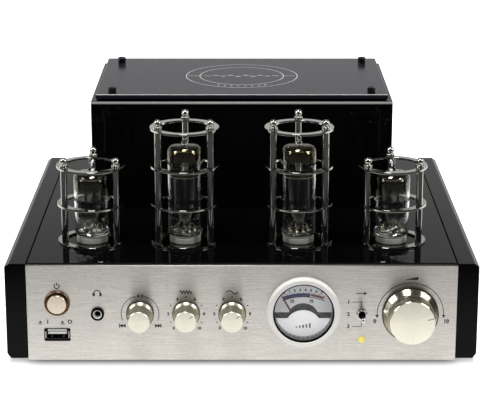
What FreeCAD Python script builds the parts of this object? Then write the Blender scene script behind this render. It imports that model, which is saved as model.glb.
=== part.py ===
import FreeCAD, Part

import math
import os

# Stereo valve amplifier: a low case between two cheeks, four guarded valves, a box over the transformer.
# Millimetres. X to the right, Y to the back, Z up. The feet stand at Z = 0, and the middle of the
# whole thing, knobs and rear terminals included, is at X = Y = 0. "Depth" is measured back from the
# front face of the front panel, "drop" down from its top edge, and a "share" is a place across the
# width, where 0 is the middle and 1 the inner face of the right cheek.

vector = FreeCAD.Vector

# Sides of the round pieces. The bore that the headphone plug enters is a true circle.
volume_sides = 40
knob_sides = 28
guard_sides = 24
bulb_sides = 20
rod_sides = 12
trim_sides = 32
meter_sides = 40
hidden_sides = 16
small_sides = 12
hex_sides = 6

# Case
case_width = 280.0
case_depth = 250.0
body_height = 60.0
foot_height = 8.0
foot_radius = 10.0
foot_inset = 34.0
cheek_thickness = 12.5
cheek_lift = 1.0
cheek_top_chamfer = (2.7, 1.8)
cheek_bottom_chamfer = (2.1, 3.0)
panel_thickness = 2.5
panel_bevel = 1.2
panel_gap = 0.2
deck_thickness = 2.0
deck_drop = 0.6
deck_seam = 0.5
rear_thickness = 2.0
sheet = 1.5
tray_flange = 8.0
vent_start = 20.0
vent_length = 46.0
vent_width = 3.0
vent_pitch = 9.0
vent_count = 5

# Transformer cover
cover_width = 194.0
cover_front_depth = 120.0
cover_length = 126.0
cover_height = 71.1
cover_bend = 2.2
top_plate_width = 188.6
top_plate_inset = 3.6
top_plate_thickness = 3.0
top_plate_gap = 1.0
spacer_radius = 4.0
cover_screw_radius = 2.6
cover_screw_height = 4.0
cover_socket_across = 2.6
cover_screw_x = 83.7
cover_screw_front = 5.5
cover_screw_rear = 15.9
cable_slot = (60.0, 24.0)
cable_slot_setback = 21.0

# Valve guards
valve_depth = 50.0
tall_share = 0.2722
short_share = 0.7192
guard_radius = 21.0
guard_width = 4.7
guard_thickness = 1.2
guard_pitch = 23.5
tall_rings = 4
short_rings = 3
rod_radius = 2.0
rod_circle = 18.2
rod_angles = (90.0, 210.0, 330.0)
rod_notch_gap = 0.06
rod_stud = 2.0

# Valves
glass_radius = 10.8
glass_wall = 1.0
glass_base = 1.5
tall_shoulder = 55.0
tall_dome = 60.7
tall_tip = 65.4
short_shoulder = 38.4
short_dome = 43.6
short_tip = 52.0
dome_steps = (0.3, 0.6, 0.85, 1.0)
tip_neck = 0.7
tip_radius = 1.3
socket_radius = 9.5
socket_height = 4.5
socket_barrel_radius = 7.0
socket_barrel_length = 9.0
socket_clearance = 0.3
mica_radius = 9.2
mica_thickness = 0.6
tall_micas = (15.4, 41.2)
short_micas = (15.4, 26.4, 31.5)
tall_anode = (6.6, 9.0)
short_anode = (12.0, 8.0)
anode_spacing = 8.2
post_side = 0.9
post_spread = 3.6
wire_rise = 2.4

# Turning knobs
knob_gap = 0.4
knob_slope = 1.1
small_flange_radius = 8.2
small_flange = 1.6
small_body_radius = 6.5
small_length = 14.8
small_drop = 31.0
track_share = -0.473
treble_share = -0.2588
bass_share = -0.0447
volume_flange_radius = 16.8
volume_flange = 2.0
volume_body_radius = 13.3
volume_length = 15.4
volume_share = 0.7835
volume_drop = 31.3
shaft_radius = 3.0
shaft_clearance = 0.06
shaft_hole_gap = 0.5
shaft_engagement = 6.0
small_pot = (16.0, 9.0, 16.0)
volume_pot_size = (20.0, 12.0, 20.0)
track_gap = 0.9
track_travel = 0.5
track_spare = 0.3

# Power button
power_share = -0.857
power_drop = 24.3
power_ring_radius = 7.7
power_ring_proud = 1.4
power_cap_radius = 5.85
power_cap_proud = 3.4
power_cap_tail = 6.0
power_travel = 3.0
power_cap_gap = 0.15
power_switch_size = (15.0, 22.0, 15.0)

# Sockets on the front
phones_share = -0.6706
phones_drop = 31.0
phones_nut_radius = 3.95
phones_nut_proud = 1.5
phones_barrel_radius = 2.9
phones_bore_radius = 1.8
phones_bore_length = 14.0
phones_body = (9.0, 16.0, 9.0)
usb_share = -0.86
usb_drop = 44.0
usb_cutout = (15.6, 8.0)
usb_gap = 0.2
usb_mouth = (12.6, 5.2)
usb_depth = 14.0
usb_tongue = (11.0, 1.9)
usb_tongue_setback = 4.6

# Source switch and lamp
toggle_share = 0.5585
toggle_drop = 31.2
toggle_nut_radius = 3.4
toggle_nut_proud = 3.0
toggle_bore_radius = 2.4
toggle_lever_radius = 1.2
toggle_tip_radius = 1.55
toggle_tip_length = 4.0
toggle_reach = 13.0
toggle_pivot = 0.6
toggle_rock = 0.35
toggle_body = (8.0, 12.0, 13.0)
lamp_share = 0.5592
lamp_drop = 47.1
lamp_radius = 2.0
lamp_proud = 1.2
lamp_length = 6.0

# Level meter
meter_share = 0.287
meter_drop = 29.7
bezel_radius = 21.75
bezel_bore = 18.25
bezel_proud = 4.0
meter_glass_thickness = 1.0
meter_glass_setback = 1.2
meter_case_radius = 18.1
meter_case_wall = 0.9
meter_case_length = 20.0
meter_fit = 0.1
dial_thickness = 0.5
dial_setback = 6.3
needle_offset = 15.0
needle_length = 26.0
needle_width = 0.7
needle_thickness = 0.3
needle_lean = 29.0
needle_clearance = 0.3
needle_hub_radius = 1.6
mask_top = 3.5
mask_thickness = 0.4

# Terminals on the rear
terminal_plate = 2.0
rca_share = -0.7216
rca_pitch = (16.0, 16.0)
rca_margin = 9.0
rca_radius = 4.15
rca_length = 9.0
rca_bore_radius = 1.65
rca_bore_depth = 8.0
post_share = 0.039
post_pitch = (19.0, 19.0)
post_margin = 10.0
post_stud_radius = 2.5
post_cap_radius = 6.0
post_cap_length = 12.0
post_seat = 3.0
post_tip = 0.5
terminal_height = 30.0
inlet_share = 0.7216
inlet_size = (30.0, 34.0)
inlet_flange = 2.0
inlet_depth = 24.0
inlet_recess = (24.0, 16.0)
inlet_recess_depth = 17.0
inlet_wall = 3.0
inlet_pin = (2.0, 15.0, 4.0)
inlet_pin_pitch = 7.0
inlet_pin_offset = 2.0
drawer_size = (20.0, 8.0)
drawer_depth = 18.0
drawer_gap = 0.3
drawer_lip = 0.8

# Inside the case
core_size = (84.0, 34.0, 62.0)
winding_size = (52.0, 56.0, 42.0)
transformer_depth = 184.0
core_leg = 20.0
can_radius = 12.0
can_height = 42.0
can_x = 70.0
can_spread = 15.6
board_size = (190.0, 110.0, 1.6)
board_lift = 8.0
board_depth = 100.0
standoff_side = 6.0
sink_size = (120.0, 24.0, 30.0)
sink_base = 5.0
sink_fins = 9
sink_fin = 2.0

# Places that follow from the sizes above
front_reach = knob_gap + volume_length
post_reach = terminal_plate + post_seat + post_cap_length + post_tip
front_y = front_reach - (front_reach + case_depth + post_reach) / 2
rear_y = front_y + case_depth
panel_back = front_y + panel_thickness
rear_front = rear_y - rear_thickness
panel_top = foot_height + body_height
inner_x = case_width / 2 - cheek_thickness
deck_top = panel_top - deck_drop
deck_bottom = deck_top - deck_thickness
tray_top = foot_height + sheet
cover_front = front_y + cover_front_depth
cover_rear = cover_front + cover_length
cover_top = deck_top + cover_height
top_plate_bottom = cover_top + top_plate_gap
top_plate_top = top_plate_bottom + top_plate_thickness
valve_y = front_y + valve_depth
tall_x = tall_share * inner_x
short_x = short_share * inner_x
track_x = track_share * inner_x
treble_x = treble_share * inner_x
bass_x = bass_share * inner_x
volume_x = volume_share * inner_x
power_x = power_share * inner_x
phones_x = phones_share * inner_x
usb_x = usb_share * inner_x
toggle_x = toggle_share * inner_x
lamp_x = lamp_share * inner_x
meter_x = meter_share * inner_x
rca_x = rca_share * inner_x
post_x = post_share * inner_x
inlet_x = inlet_share * inner_x
valve_places = (
    (-short_x, short_rings),
    (-tall_x, tall_rings),
    (tall_x, tall_rings),
    (short_x, short_rings),
)
glass_bottom = deck_top + socket_height
terminal_z = foot_height + terminal_height
post_y = rear_y + terminal_plate


def box(x0, x1, y0, y1, z0, z1):
    return Part.makeBox(x1 - x0, y1 - y0, z1 - z0, vector(x0, y0, z0))


def centred_box(x, z, size, y0):
    """A box of (width, depth, height) about the line through X and Z, going back from y0."""
    width, depth, height = size
    return box(x - width / 2, x + width / 2, y0, y0 + depth, z - height / 2, z + height / 2)


def rod_y(x, z, radius, y0, y1):
    return Part.makeCylinder(radius, y1 - y0, vector(x, y0, z), vector(0, 1, 0))


def prism(centre, direction, radius, length, sides):
    """A regular prism whose flats touch the circle of the given radius."""
    corner = radius / math.cos(math.pi / sides)
    turn = FreeCAD.Rotation(vector(0, 0, 1), direction)
    points = []
    for i in range(sides + 1):
        angle = 2 * math.pi * (i + 0.5) / sides
        points.append(centre + turn.multVec(vector(corner * math.cos(angle), corner * math.sin(angle), 0)))
    return Part.Face(Part.makePolygon(points)).extrude(direction * length)


def prism_z(x, y, radius, z0, z1, sides):
    return prism(vector(x, y, z0), vector(0, 0, 1), radius, z1 - z0, sides)


def prism_y(x, z, radius, y0, y1, sides):
    return prism(vector(x, y0, z), vector(0, 1, 0), radius, y1 - y0, sides)


def stacked_z(x, y, profile, sides):
    """A solid through regular polygons of the given radii and heights, one above the other."""
    angles = [2 * math.pi * i / sides for i in range(sides)]
    rings = []
    for radius, z in profile:
        corner = radius / math.cos(math.pi / sides)
        rings.append([vector(x + corner * math.cos(a), y + corner * math.sin(a), z) for a in angles])
    outlines = [rings[0], rings[-1]]
    for lower, upper in zip(rings, rings[1:]):
        for i in range(sides):
            outlines.append([lower[i - 1], lower[i], upper[i], upper[i - 1]])
    faces = [Part.Face(Part.makePolygon(points + points[:1])) for points in outlines]
    solid = Part.Solid(Part.Shell(faces))
    if solid.Volume < 0:
        solid.reverse()
    return solid


def stacked_forward(x, z, back, profile, sides):
    """The same lying down: (radius, distance) pairs that go forward from the back."""
    solid = stacked_z(0, 0, profile, sides)
    solid.rotate(vector(0, 0, 0), vector(1, 0, 0), 90)
    solid.translate(vector(x, back, z))
    return solid


def extruded_y(points, y0, y1):
    """Extrudes an outline of (x, z) points from y0 to y1."""
    corners = [vector(x, y0, z) for x, z in points]
    return Part.Face(Part.makePolygon(corners + corners[:1])).extrude(vector(0, y1 - y0, 0))


def fused(shapes):
    return shapes[0].multiFuse(shapes[1:]).removeSplitter()


def save(node, *solids):
    shape = solids[0] if len(solids) == 1 else Part.makeCompound(list(solids))
    shape.exportStep(f"parts/{node}.step")


def mirrored_x(shape):
    return shape.mirror(vector(0, 0, 0), vector(1, 0, 0))


def small_z():
    return panel_top - small_drop


def power_bore():
    return power_cap_radius + power_cap_gap


def shaft_bore():
    """The bore's flats clear the corners of the many-sided shaft."""
    return shaft_radius / math.cos(math.pi / small_sides) + shaft_clearance


# Case


def front_panel():
    half = inner_x - panel_gap
    outline = box(-half, half, front_y, panel_back, foot_height, panel_top)
    top_front = [
        edge
        for edge in outline.Edges
        if all(abs(v.Y - front_y) < 1e-6 and abs(v.Z - panel_top) < 1e-6 for v in edge.Vertexes)
    ]
    panel = outline.makeChamfer(panel_bevel, top_front)
    holes = [(x, small_z(), shaft_radius + shaft_hole_gap) for x in (track_x, treble_x, bass_x)]
    holes.append((volume_x, panel_top - volume_drop, shaft_radius + shaft_hole_gap))
    holes.append((phones_x, panel_top - phones_drop, phones_barrel_radius + panel_gap))
    holes.append((toggle_x, panel_top - toggle_drop, toggle_bore_radius))
    holes.append((lamp_x, panel_top - lamp_drop, lamp_radius + panel_gap / 2))
    for x, z, radius in holes:
        panel = panel.cut(prism_y(x, z, radius, front_y, panel_back, small_sides))
    power_z = panel_top - power_drop
    panel = panel.cut(prism_y(power_x, power_z, power_bore(), front_y, panel_back, trim_sides))
    meter_hole = meter_case_radius + panel_gap
    panel = panel.cut(
        prism_y(meter_x, panel_top - meter_drop, meter_hole, front_y, panel_back, meter_sides)
    )
    usb_size = (usb_cutout[0], panel_thickness, usb_cutout[1])
    return panel.cut(centred_box(usb_x, panel_top - usb_drop, usb_size, front_y))


def right_cheek():
    bottom = foot_height + cheek_lift
    outer = case_width / 2
    outline = [
        (inner_x, bottom),
        (outer - cheek_bottom_chamfer[0], bottom),
        (outer, bottom + cheek_bottom_chamfer[1]),
        (outer, panel_top - cheek_top_chamfer[1]),
        (outer - cheek_top_chamfer[0], panel_top),
        (inner_x, panel_top),
    ]
    return extruded_y(outline, front_y, rear_y)


def deck_plate():
    half = inner_x - deck_seam
    deck = box(-half, half, panel_back, rear_y, deck_bottom, deck_top)
    hole = socket_barrel_radius + socket_clearance
    for x, _ in valve_places:
        deck = deck.cut(prism_z(x, valve_y, hole, deck_bottom, deck_top, small_sides))
    slot_x, slot_y = cable_slot
    middle = cover_front + cable_slot_setback
    return deck.cut(
        box(-slot_x / 2, slot_x / 2, middle - slot_y / 2, middle + slot_y / 2, deck_bottom, deck_top)
    )


def base_tray():
    half = inner_x - panel_gap
    floor = box(-half, half, panel_back, rear_y, foot_height, tray_top)
    flanges = []
    for side in (-1, 1):
        inner, outer = sorted((side * half, side * (half - sheet)))
        flanges.append(box(inner, outer, panel_back, rear_front, tray_top, tray_top + tray_flange))
    flanges.append(box(-half, half, panel_back, panel_back + sheet, tray_top, tray_top + tray_flange))
    tray = fused([floor] + flanges)
    for side in (-1, 1):
        for i in range(vent_count):
            y = front_y + board_depth + (i - (vent_count - 1) / 2) * vent_pitch
            x0, x1 = sorted((side * vent_start, side * (vent_start + vent_length)))
            tray = tray.cut(box(x0, x1, y - vent_width / 2, y + vent_width / 2, foot_height, tray_top))
    return tray


def rear_panel():
    half = inner_x - panel_gap
    panel = box(-half, half, rear_front, rear_y, tray_top, deck_bottom)
    rca_width = rca_pitch[0] + rca_margin
    rca_high = rca_pitch[1] + rca_margin
    panel = panel.cut(centred_box(rca_x, terminal_z, (rca_width, rear_thickness, rca_high), rear_front))
    post_wide = post_pitch[0] + post_margin
    post_high = post_pitch[1] + post_margin
    panel = panel.cut(centred_box(post_x, terminal_z, (post_wide, rear_thickness, post_high), rear_front))
    hole = (inlet_size[0] - 2 * inlet_wall + 2 * panel_gap, rear_thickness, inlet_size[1] - 2 * inlet_wall)
    return panel.cut(centred_box(inlet_x, terminal_z, hole, rear_front))


def feet():
    x = case_width / 2 - foot_inset
    for_y = (front_y + foot_inset, rear_y - foot_inset)
    return [
        prism_z(side * x, y, foot_radius, 0, foot_height, hidden_sides)
        for side in (-1, 1)
        for y in for_y
    ]


# Transformer cover


def transformer_cover():
    half = cover_width / 2
    outer = box(-half, half, cover_front, cover_rear, deck_top, cover_top)
    along_top = [
        edge
        for edge in outer.Edges
        if all(abs(v.Z - cover_top) < 1e-6 for v in edge.Vertexes)
        and abs(edge.Vertexes[0].Y - edge.Vertexes[1].Y) < 1e-6
    ]
    outer = outer.makeFillet(cover_bend, along_top)
    inner = box(
        -half + sheet,
        half - sheet,
        cover_front + sheet,
        cover_rear - sheet,
        deck_top,
        cover_top - sheet,
    )
    return outer.cut(inner)


def cover_screw_places():
    front = cover_front + top_plate_inset + cover_screw_front
    rear = cover_rear - top_plate_inset - cover_screw_rear
    return [(side * cover_screw_x, y) for side in (-1, 1) for y in (front, rear)]


def cover_top_plate():
    half = top_plate_width / 2
    plate = box(
        -half,
        half,
        cover_front + top_plate_inset,
        cover_rear - top_plate_inset,
        top_plate_bottom,
        top_plate_top,
    )
    spacers = [
        prism_z(x, y, spacer_radius, cover_top, top_plate_bottom, small_sides)
        for x, y in cover_screw_places()
    ]
    return fused([plate] + spacers)


def cover_screws():
    top = top_plate_top + cover_screw_height
    screws = []
    for x, y in cover_screw_places():
        head = prism_z(x, y, cover_screw_radius, top_plate_top, top, small_sides)
        socket = prism_z(x, y, cover_socket_across / 2, top - cover_screw_height / 2, top, hex_sides)
        screws.append(head.cut(socket))
    return screws


# Valve guards


def guard_rings(x, count):
    """Flat rings stacked round one valve, notched from inside for the three rods."""
    rings = []
    for i in range(count):
        z0 = deck_top + i * guard_pitch
        z1 = z0 + guard_thickness
        ring = prism_z(x, valve_y, guard_radius, z0, z1, guard_sides)
        ring = ring.cut(prism_z(x, valve_y, guard_radius - guard_width, z0, z1, guard_sides))
        for angle in rod_angles:
            half = rod_radius / math.cos(math.pi / rod_sides) + rod_notch_gap
            notch = box(x, x + rod_circle + half, valve_y - half, valve_y + half, z0, z1)
            ring = ring.cut(notch.rotate(vector(x, valve_y, 0), vector(0, 0, 1), angle))
        rings.append(ring)
    return rings


def guard_rods():
    rods = []
    for x, count in valve_places:
        top = deck_top + (count - 1) * guard_pitch + guard_thickness + rod_stud
        for angle in rod_angles:
            turn = math.radians(angle)
            rod_x = x + rod_circle * math.cos(turn)
            rod_y_place = valve_y + rod_circle * math.sin(turn)
            rods.append(prism_z(rod_x, rod_y_place, rod_radius, deck_top, top, rod_sides))
    return rods


# Valves


def valve_glass(x, shoulder, dome):
    """A bulb with a domed shoulder."""
    rise = dome - shoulder
    wall = [(glass_radius, glass_bottom), (glass_radius, deck_top + shoulder)]
    for share in dome_steps:
        radius = tip_radius + (glass_radius - tip_radius) * math.cos(share * math.pi / 2)
        wall.append((radius, deck_top + shoulder + rise * math.sin(share * math.pi / 2)))
    bulb = stacked_z(x, valve_y, wall, bulb_sides)
    inside = glass_radius - glass_wall
    top = deck_top + shoulder
    return bulb.cut(prism_z(x, valve_y, inside, glass_bottom + glass_base, top, bulb_sides))


def valve_tip(x, dome, tip):
    """The glass drawn out on top of the dome, where the bulb was sealed off."""
    neck = deck_top + dome + (tip - dome) * tip_neck
    profile = [(tip_radius, deck_top + dome), (tip_radius, neck), (tip_radius / 2, deck_top + tip)]
    return stacked_z(x, valve_y, profile, small_sides)


def valve_electrodes(x, micas, anodes, anode_size):
    """The stack in one bulb: mica discs, anode boxes between them, and the upright support wires."""
    floor = glass_bottom + glass_base
    low = deck_top + micas[0]
    high = deck_top + micas[1]
    pieces = []
    for z in micas:
        bottom = deck_top + z
        pieces.append(prism_z(x, valve_y, mica_radius, bottom, bottom + mica_thickness, small_sides))
    for offset in anodes:
        width, depth = anode_size
        pieces.append(
            box(
                x + offset - width / 2,
                x + offset + width / 2,
                valve_y - depth / 2,
                valve_y + depth / 2,
                low,
                high,
            )
        )
    half = post_side / 2
    top = deck_top + micas[-1] + wire_rise
    for side_x in (-1, 1):
        for side_y in (-1, 1):
            post_x_place = x + side_x * post_spread
            post_y_place = valve_y + side_y * post_spread
            pieces.append(
                box(
                    post_x_place - half,
                    post_x_place + half,
                    post_y_place - half,
                    post_y_place + half,
                    floor,
                    top,
                )
            )
    return fused(pieces)


def valve_socket(x):
    collar = prism_z(x, valve_y, socket_radius, deck_top, glass_bottom, hidden_sides)
    barrel = prism_z(
        x, valve_y, socket_barrel_radius, deck_bottom - socket_barrel_length, deck_top, small_sides
    )
    return fused([collar, barrel])


# Turning knobs


def knob(x, z, back, flange_radius, flange, body_radius, length, sides):
    """A turned knob: a skirt beside the panel and a slimmer grip in front of it."""
    waist = flange + (flange_radius - body_radius) * knob_slope
    profile = [(flange_radius, 0), (flange_radius, flange), (body_radius, waist), (body_radius, length)]
    return stacked_forward(x, z, back, profile, sides)


def small_knob(x, back):
    return knob(
        x, small_z(), back, small_flange_radius, small_flange, small_body_radius, small_length, knob_sides
    )


def volume_knob(z, back):
    skirt = volume_flange_radius
    grip = volume_body_radius
    return knob(volume_x, z, back, skirt, volume_flange, grip, volume_length, volume_sides)


def shaft(x, z, back):
    return prism_y(x, z, shaft_radius, back, panel_back + shaft_engagement, small_sides)


def control(x, z, size, spare):
    """The body of a control behind the panel, bored for its shaft."""
    body = centred_box(x, z, size, panel_back)
    end = panel_back + shaft_engagement + spare
    return body.cut(prism_y(x, z, shaft_bore(), panel_back, end, small_sides))


# Power button


def power_ring():
    z = panel_top - power_drop
    front = front_y - power_ring_proud
    ring = prism_y(power_x, z, power_ring_radius, front, front_y, trim_sides)
    return ring.cut(prism_y(power_x, z, power_bore(), front, front_y, trim_sides))


def power_cap():
    z = panel_top - power_drop
    front = front_y - power_cap_proud
    return prism_y(power_x, z, power_cap_radius, front, front_y + power_cap_tail, trim_sides)


def power_switch():
    z = panel_top - power_drop
    body = centred_box(power_x, z, power_switch_size, panel_back)
    end = front_y + power_cap_tail + power_travel + power_cap_gap
    return body.cut(prism_y(power_x, z, power_bore(), panel_back, end, trim_sides))


# Sockets on the front


def phones_jack():
    z = panel_top - phones_drop
    nut = prism_y(phones_x, z, phones_nut_radius, front_y - phones_nut_proud, front_y, guard_sides)
    barrel = prism_y(phones_x, z, phones_barrel_radius, front_y, panel_back, hidden_sides)
    body = centred_box(phones_x, z, phones_body, panel_back)
    mouth = front_y - phones_nut_proud
    bore = rod_y(phones_x, z, phones_bore_radius, mouth, mouth + phones_bore_length)
    return fused([nut, barrel, body]).cut(bore)


def usb_port():
    z = panel_top - usb_drop
    width = usb_cutout[0] - 2 * usb_gap
    height = usb_cutout[1] - 2 * usb_gap
    shell = centred_box(usb_x, z, (width, usb_depth, height), front_y)
    floor = usb_depth - sheet
    shell = shell.cut(centred_box(usb_x, z, (usb_mouth[0], floor, usb_mouth[1]), front_y))
    tongue_z = z + (usb_mouth[1] - usb_tongue[1]) / 2 - usb_gap
    tongue_size = (usb_tongue[0], usb_depth - usb_tongue_setback, usb_tongue[1])
    tongue = centred_box(usb_x, tongue_z, tongue_size, front_y + usb_tongue_setback)
    return fused([shell, tongue])


# Source switch and lamp


def toggle_bushing():
    z = panel_top - toggle_drop
    front = front_y - toggle_nut_proud
    nut = prism_y(toggle_x, z, toggle_nut_radius, front, front_y, guard_sides)
    return nut.cut(prism_y(toggle_x, z, toggle_bore_radius, front, front_y, hidden_sides))


def toggle_lever():
    z = panel_top - toggle_drop
    tip_back = front_y - toggle_reach + toggle_tip_length
    tip = prism_y(toggle_x, z, toggle_tip_radius, front_y - toggle_reach, tip_back, hidden_sides)
    stem = prism_y(toggle_x, z, toggle_lever_radius, tip_back, front_y + toggle_pivot, hidden_sides)
    return fused([tip, stem])


def toggle_switch():
    """The switch body, with the short post that the lever rocks on."""
    z = panel_top - toggle_drop
    body = centred_box(toggle_x, z, toggle_body, panel_back)
    post_front = front_y + toggle_pivot + toggle_rock
    post = prism_y(toggle_x, z, toggle_lever_radius, post_front, panel_back, small_sides)
    return fused([body, post])


def source_lamp():
    z = panel_top - lamp_drop
    return prism_y(lamp_x, z, lamp_radius, front_y - lamp_proud, front_y + lamp_length, hidden_sides)


# Level meter


def meter_z():
    return panel_top - meter_drop


def meter_glass_back():
    return front_y - bezel_proud + meter_glass_setback + meter_glass_thickness


def meter_bezel():
    ring = prism_y(meter_x, meter_z(), bezel_radius, front_y - bezel_proud, front_y, meter_sides)
    return ring.cut(
        prism_y(meter_x, meter_z(), bezel_bore, front_y - bezel_proud, front_y, meter_sides)
    )


def meter_glass():
    back = meter_glass_back()
    radius = bezel_bore - meter_fit
    return prism_y(meter_x, meter_z(), radius, back - meter_glass_thickness, back, meter_sides)


def meter_case():
    front = meter_glass_back()
    case = prism_y(meter_x, meter_z(), meter_case_radius, front, front_y + meter_case_length, meter_sides)
    pocket = meter_case_radius - meter_case_wall
    return case.cut(
        prism_y(meter_x, meter_z(), pocket, front, front_y + dial_setback, meter_sides)
    )


def meter_dial():
    radius = meter_case_radius - meter_case_wall - meter_fit
    front = front_y + dial_setback - dial_thickness
    return prism_y(meter_x, meter_z(), radius, front, front + dial_thickness, meter_sides)


def needle_back():
    return front_y + dial_setback - dial_thickness - needle_clearance


def meter_needle():
    """The pointer leans left at rest; its hub turns on the pivot below the middle of the dial."""
    pivot_z = meter_z() - needle_offset
    y0 = needle_back() - needle_thickness
    half = needle_width / 2
    pointer = box(
        meter_x - half, meter_x + half, y0, needle_back(), pivot_z, pivot_z + needle_length
    )
    pointer.rotate(vector(meter_x, 0, pivot_z), vector(0, 1, 0), -needle_lean)
    hub = prism_y(meter_x, pivot_z, needle_hub_radius, y0, needle_back(), small_sides)
    return fused([pointer, hub])


def meter_mask():
    """The lower plate that hides the needle's pivot."""
    back = needle_back() - needle_thickness - needle_clearance
    radius = meter_case_radius - meter_case_wall - meter_fit
    disc = prism_y(meter_x, meter_z(), radius, back - mask_thickness, back, meter_sides)
    top = meter_z() - mask_top
    keep = box(
        meter_x - radius * 2, meter_x + radius * 2, back - mask_thickness, back, top - radius * 2, top
    )
    return disc.common(keep)


# Terminals on the rear


def grid(x, pitch):
    across, up = pitch
    return [
        (x + side_x * across / 2, terminal_z + side_z * up / 2)
        for side_x in (-1, 1)
        for side_z in (-1, 1)
    ]


def terminal_plates():
    rca_size = (
        rca_pitch[0] + 2 * rca_margin,
        terminal_plate,
        rca_pitch[1] + 2 * rca_margin,
    )
    post_size = (
        post_pitch[0] + 2 * post_margin,
        terminal_plate,
        post_pitch[1] + 2 * post_margin,
    )
    return [
        centred_box(rca_x, terminal_z, rca_size, rear_y),
        centred_box(post_x, terminal_z, post_size, rear_y),
    ]


def rca_jacks():
    jacks = []
    for x, z in grid(rca_x, rca_pitch):
        end = post_y + rca_length
        jack = prism_y(x, z, rca_radius, post_y, end, small_sides)
        bore = prism_y(x, z, rca_bore_radius, end - rca_bore_depth, end, small_sides)
        jacks.append(jack.cut(bore))
    return jacks


def post_studs():
    studs = []
    for x, z in grid(post_x, post_pitch):
        seat = prism_y(x, z, post_cap_radius, post_y, post_y + post_seat - panel_gap, small_sides)
        end = post_y + post_seat + post_cap_length + post_tip
        stud = prism_y(x, z, post_stud_radius, post_y + post_seat - panel_gap, end, small_sides)
        studs.append(fused([seat, stud]))
    return studs


def post_caps():
    caps = []
    for x, z in grid(post_x, post_pitch):
        start = post_y + post_seat
        end = start + post_cap_length
        cap = prism_y(x, z, post_cap_radius, start, end, small_sides)
        caps.append(cap.cut(prism_y(x, z, post_cap_bore(), start, end, small_sides)))
    return caps


def post_cap_bore():
    return post_stud_radius / math.cos(math.pi / small_sides) + shaft_clearance


def drawer_z():
    return terminal_z - inlet_size[1] / 2 + inlet_wall + drawer_size[1] / 2


def mains_inlet():
    width, height = inlet_size
    flange = centred_box(inlet_x, terminal_z, (width, inlet_flange, height), rear_y)
    body_width = width - 2 * inlet_wall
    body_height_here = height - 2 * inlet_wall - 2 * panel_gap
    body = centred_box(
        inlet_x, terminal_z, (body_width, inlet_depth, body_height_here), rear_y - inlet_depth
    )
    mouth = rear_y + inlet_flange
    recess_z = terminal_z + height / 2 - inlet_wall - inlet_recess[1] / 2 - panel_gap
    recess_size = (inlet_recess[0] - 2 * panel_gap, inlet_recess_depth, inlet_recess[1] - sheet)
    inlet = fused([flange, body]).cut(
        centred_box(inlet_x, recess_z, recess_size, mouth - inlet_recess_depth)
    )
    pins = []
    for step, lift in ((-1, -1), (0, 1), (1, -1)):
        x = inlet_x + step * inlet_pin_pitch
        z = recess_z + lift * inlet_pin_offset
        pins.append(centred_box(x, z, inlet_pin, mouth - inlet_recess_depth))
    slot = (
        drawer_size[0] + 2 * drawer_gap,
        drawer_depth + drawer_gap,
        drawer_size[1] + 2 * drawer_gap,
    )
    slot_start = mouth - drawer_depth - drawer_gap
    return fused([inlet] + pins).cut(centred_box(inlet_x, drawer_z(), slot, slot_start))


def fuse_drawer():
    mouth = rear_y + inlet_flange
    size = (drawer_size[0], drawer_depth + drawer_lip, drawer_size[1])
    return centred_box(inlet_x, drawer_z(), size, mouth - drawer_depth)


# Inside the case


def transformer_core():
    width, depth, height = core_size
    y = front_y + transformer_depth
    core = box(-width / 2, width / 2, y - depth / 2, y + depth / 2, deck_top, deck_top + height)
    return core.cut(transformer_winding())


def transformer_winding_block():
    width, depth, height = winding_size
    y = front_y + transformer_depth
    z = deck_top + core_size[2] / 2
    return box(-width / 2, width / 2, y - depth / 2, y + depth / 2, z - height / 2, z + height / 2)


def transformer_winding():
    """The coil round the core's upright middle leg."""
    height = winding_size[2]
    y = front_y + transformer_depth
    z = deck_top + core_size[2] / 2
    half = core_size[1] / 2
    leg = box(-core_leg / 2, core_leg / 2, y - half, y + half, z - height / 2, z + height / 2)
    return transformer_winding_block().cut(leg)


def filter_cans():
    y = front_y + transformer_depth
    top = deck_top + can_height
    return [
        prism_z(side * can_x, y + step * can_spread, can_radius, deck_top, top, small_sides)
        for side in (-1, 1)
        for step in (-1, 1)
    ]


def main_board():
    width, depth, thickness = board_size
    y = front_y + board_depth
    z = tray_top + board_lift
    board = box(-width / 2, width / 2, y - depth / 2, y + depth / 2, z, z + thickness)
    half = standoff_side / 2
    feet_here = []
    for side_x in (-1, 1):
        for side_y in (-1, 1):
            x = side_x * (width / 2 - standoff_side)
            foot_y = y + side_y * (depth / 2 - standoff_side)
            feet_here.append(box(x - half, x + half, foot_y - half, foot_y + half, tray_top, z))
    return fused([board] + feet_here)


def heat_sink():
    """An extruded comb of upright fins on the main board."""
    width, depth, height = sink_size
    y = front_y + board_depth + board_size[1] / 2 - depth
    z = tray_top + board_lift + board_size[2]
    sink = box(-width / 2, width / 2, y, y + depth, z, z + height)
    pitch = (width - sink_fin) / (sink_fins - 1)
    for i in range(sink_fins - 1):
        x0 = -width / 2 + sink_fin + i * pitch
        sink = sink.cut(box(x0, x0 + pitch - sink_fin, y + sink_base, y + depth, z, z + height))
    return sink


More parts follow.
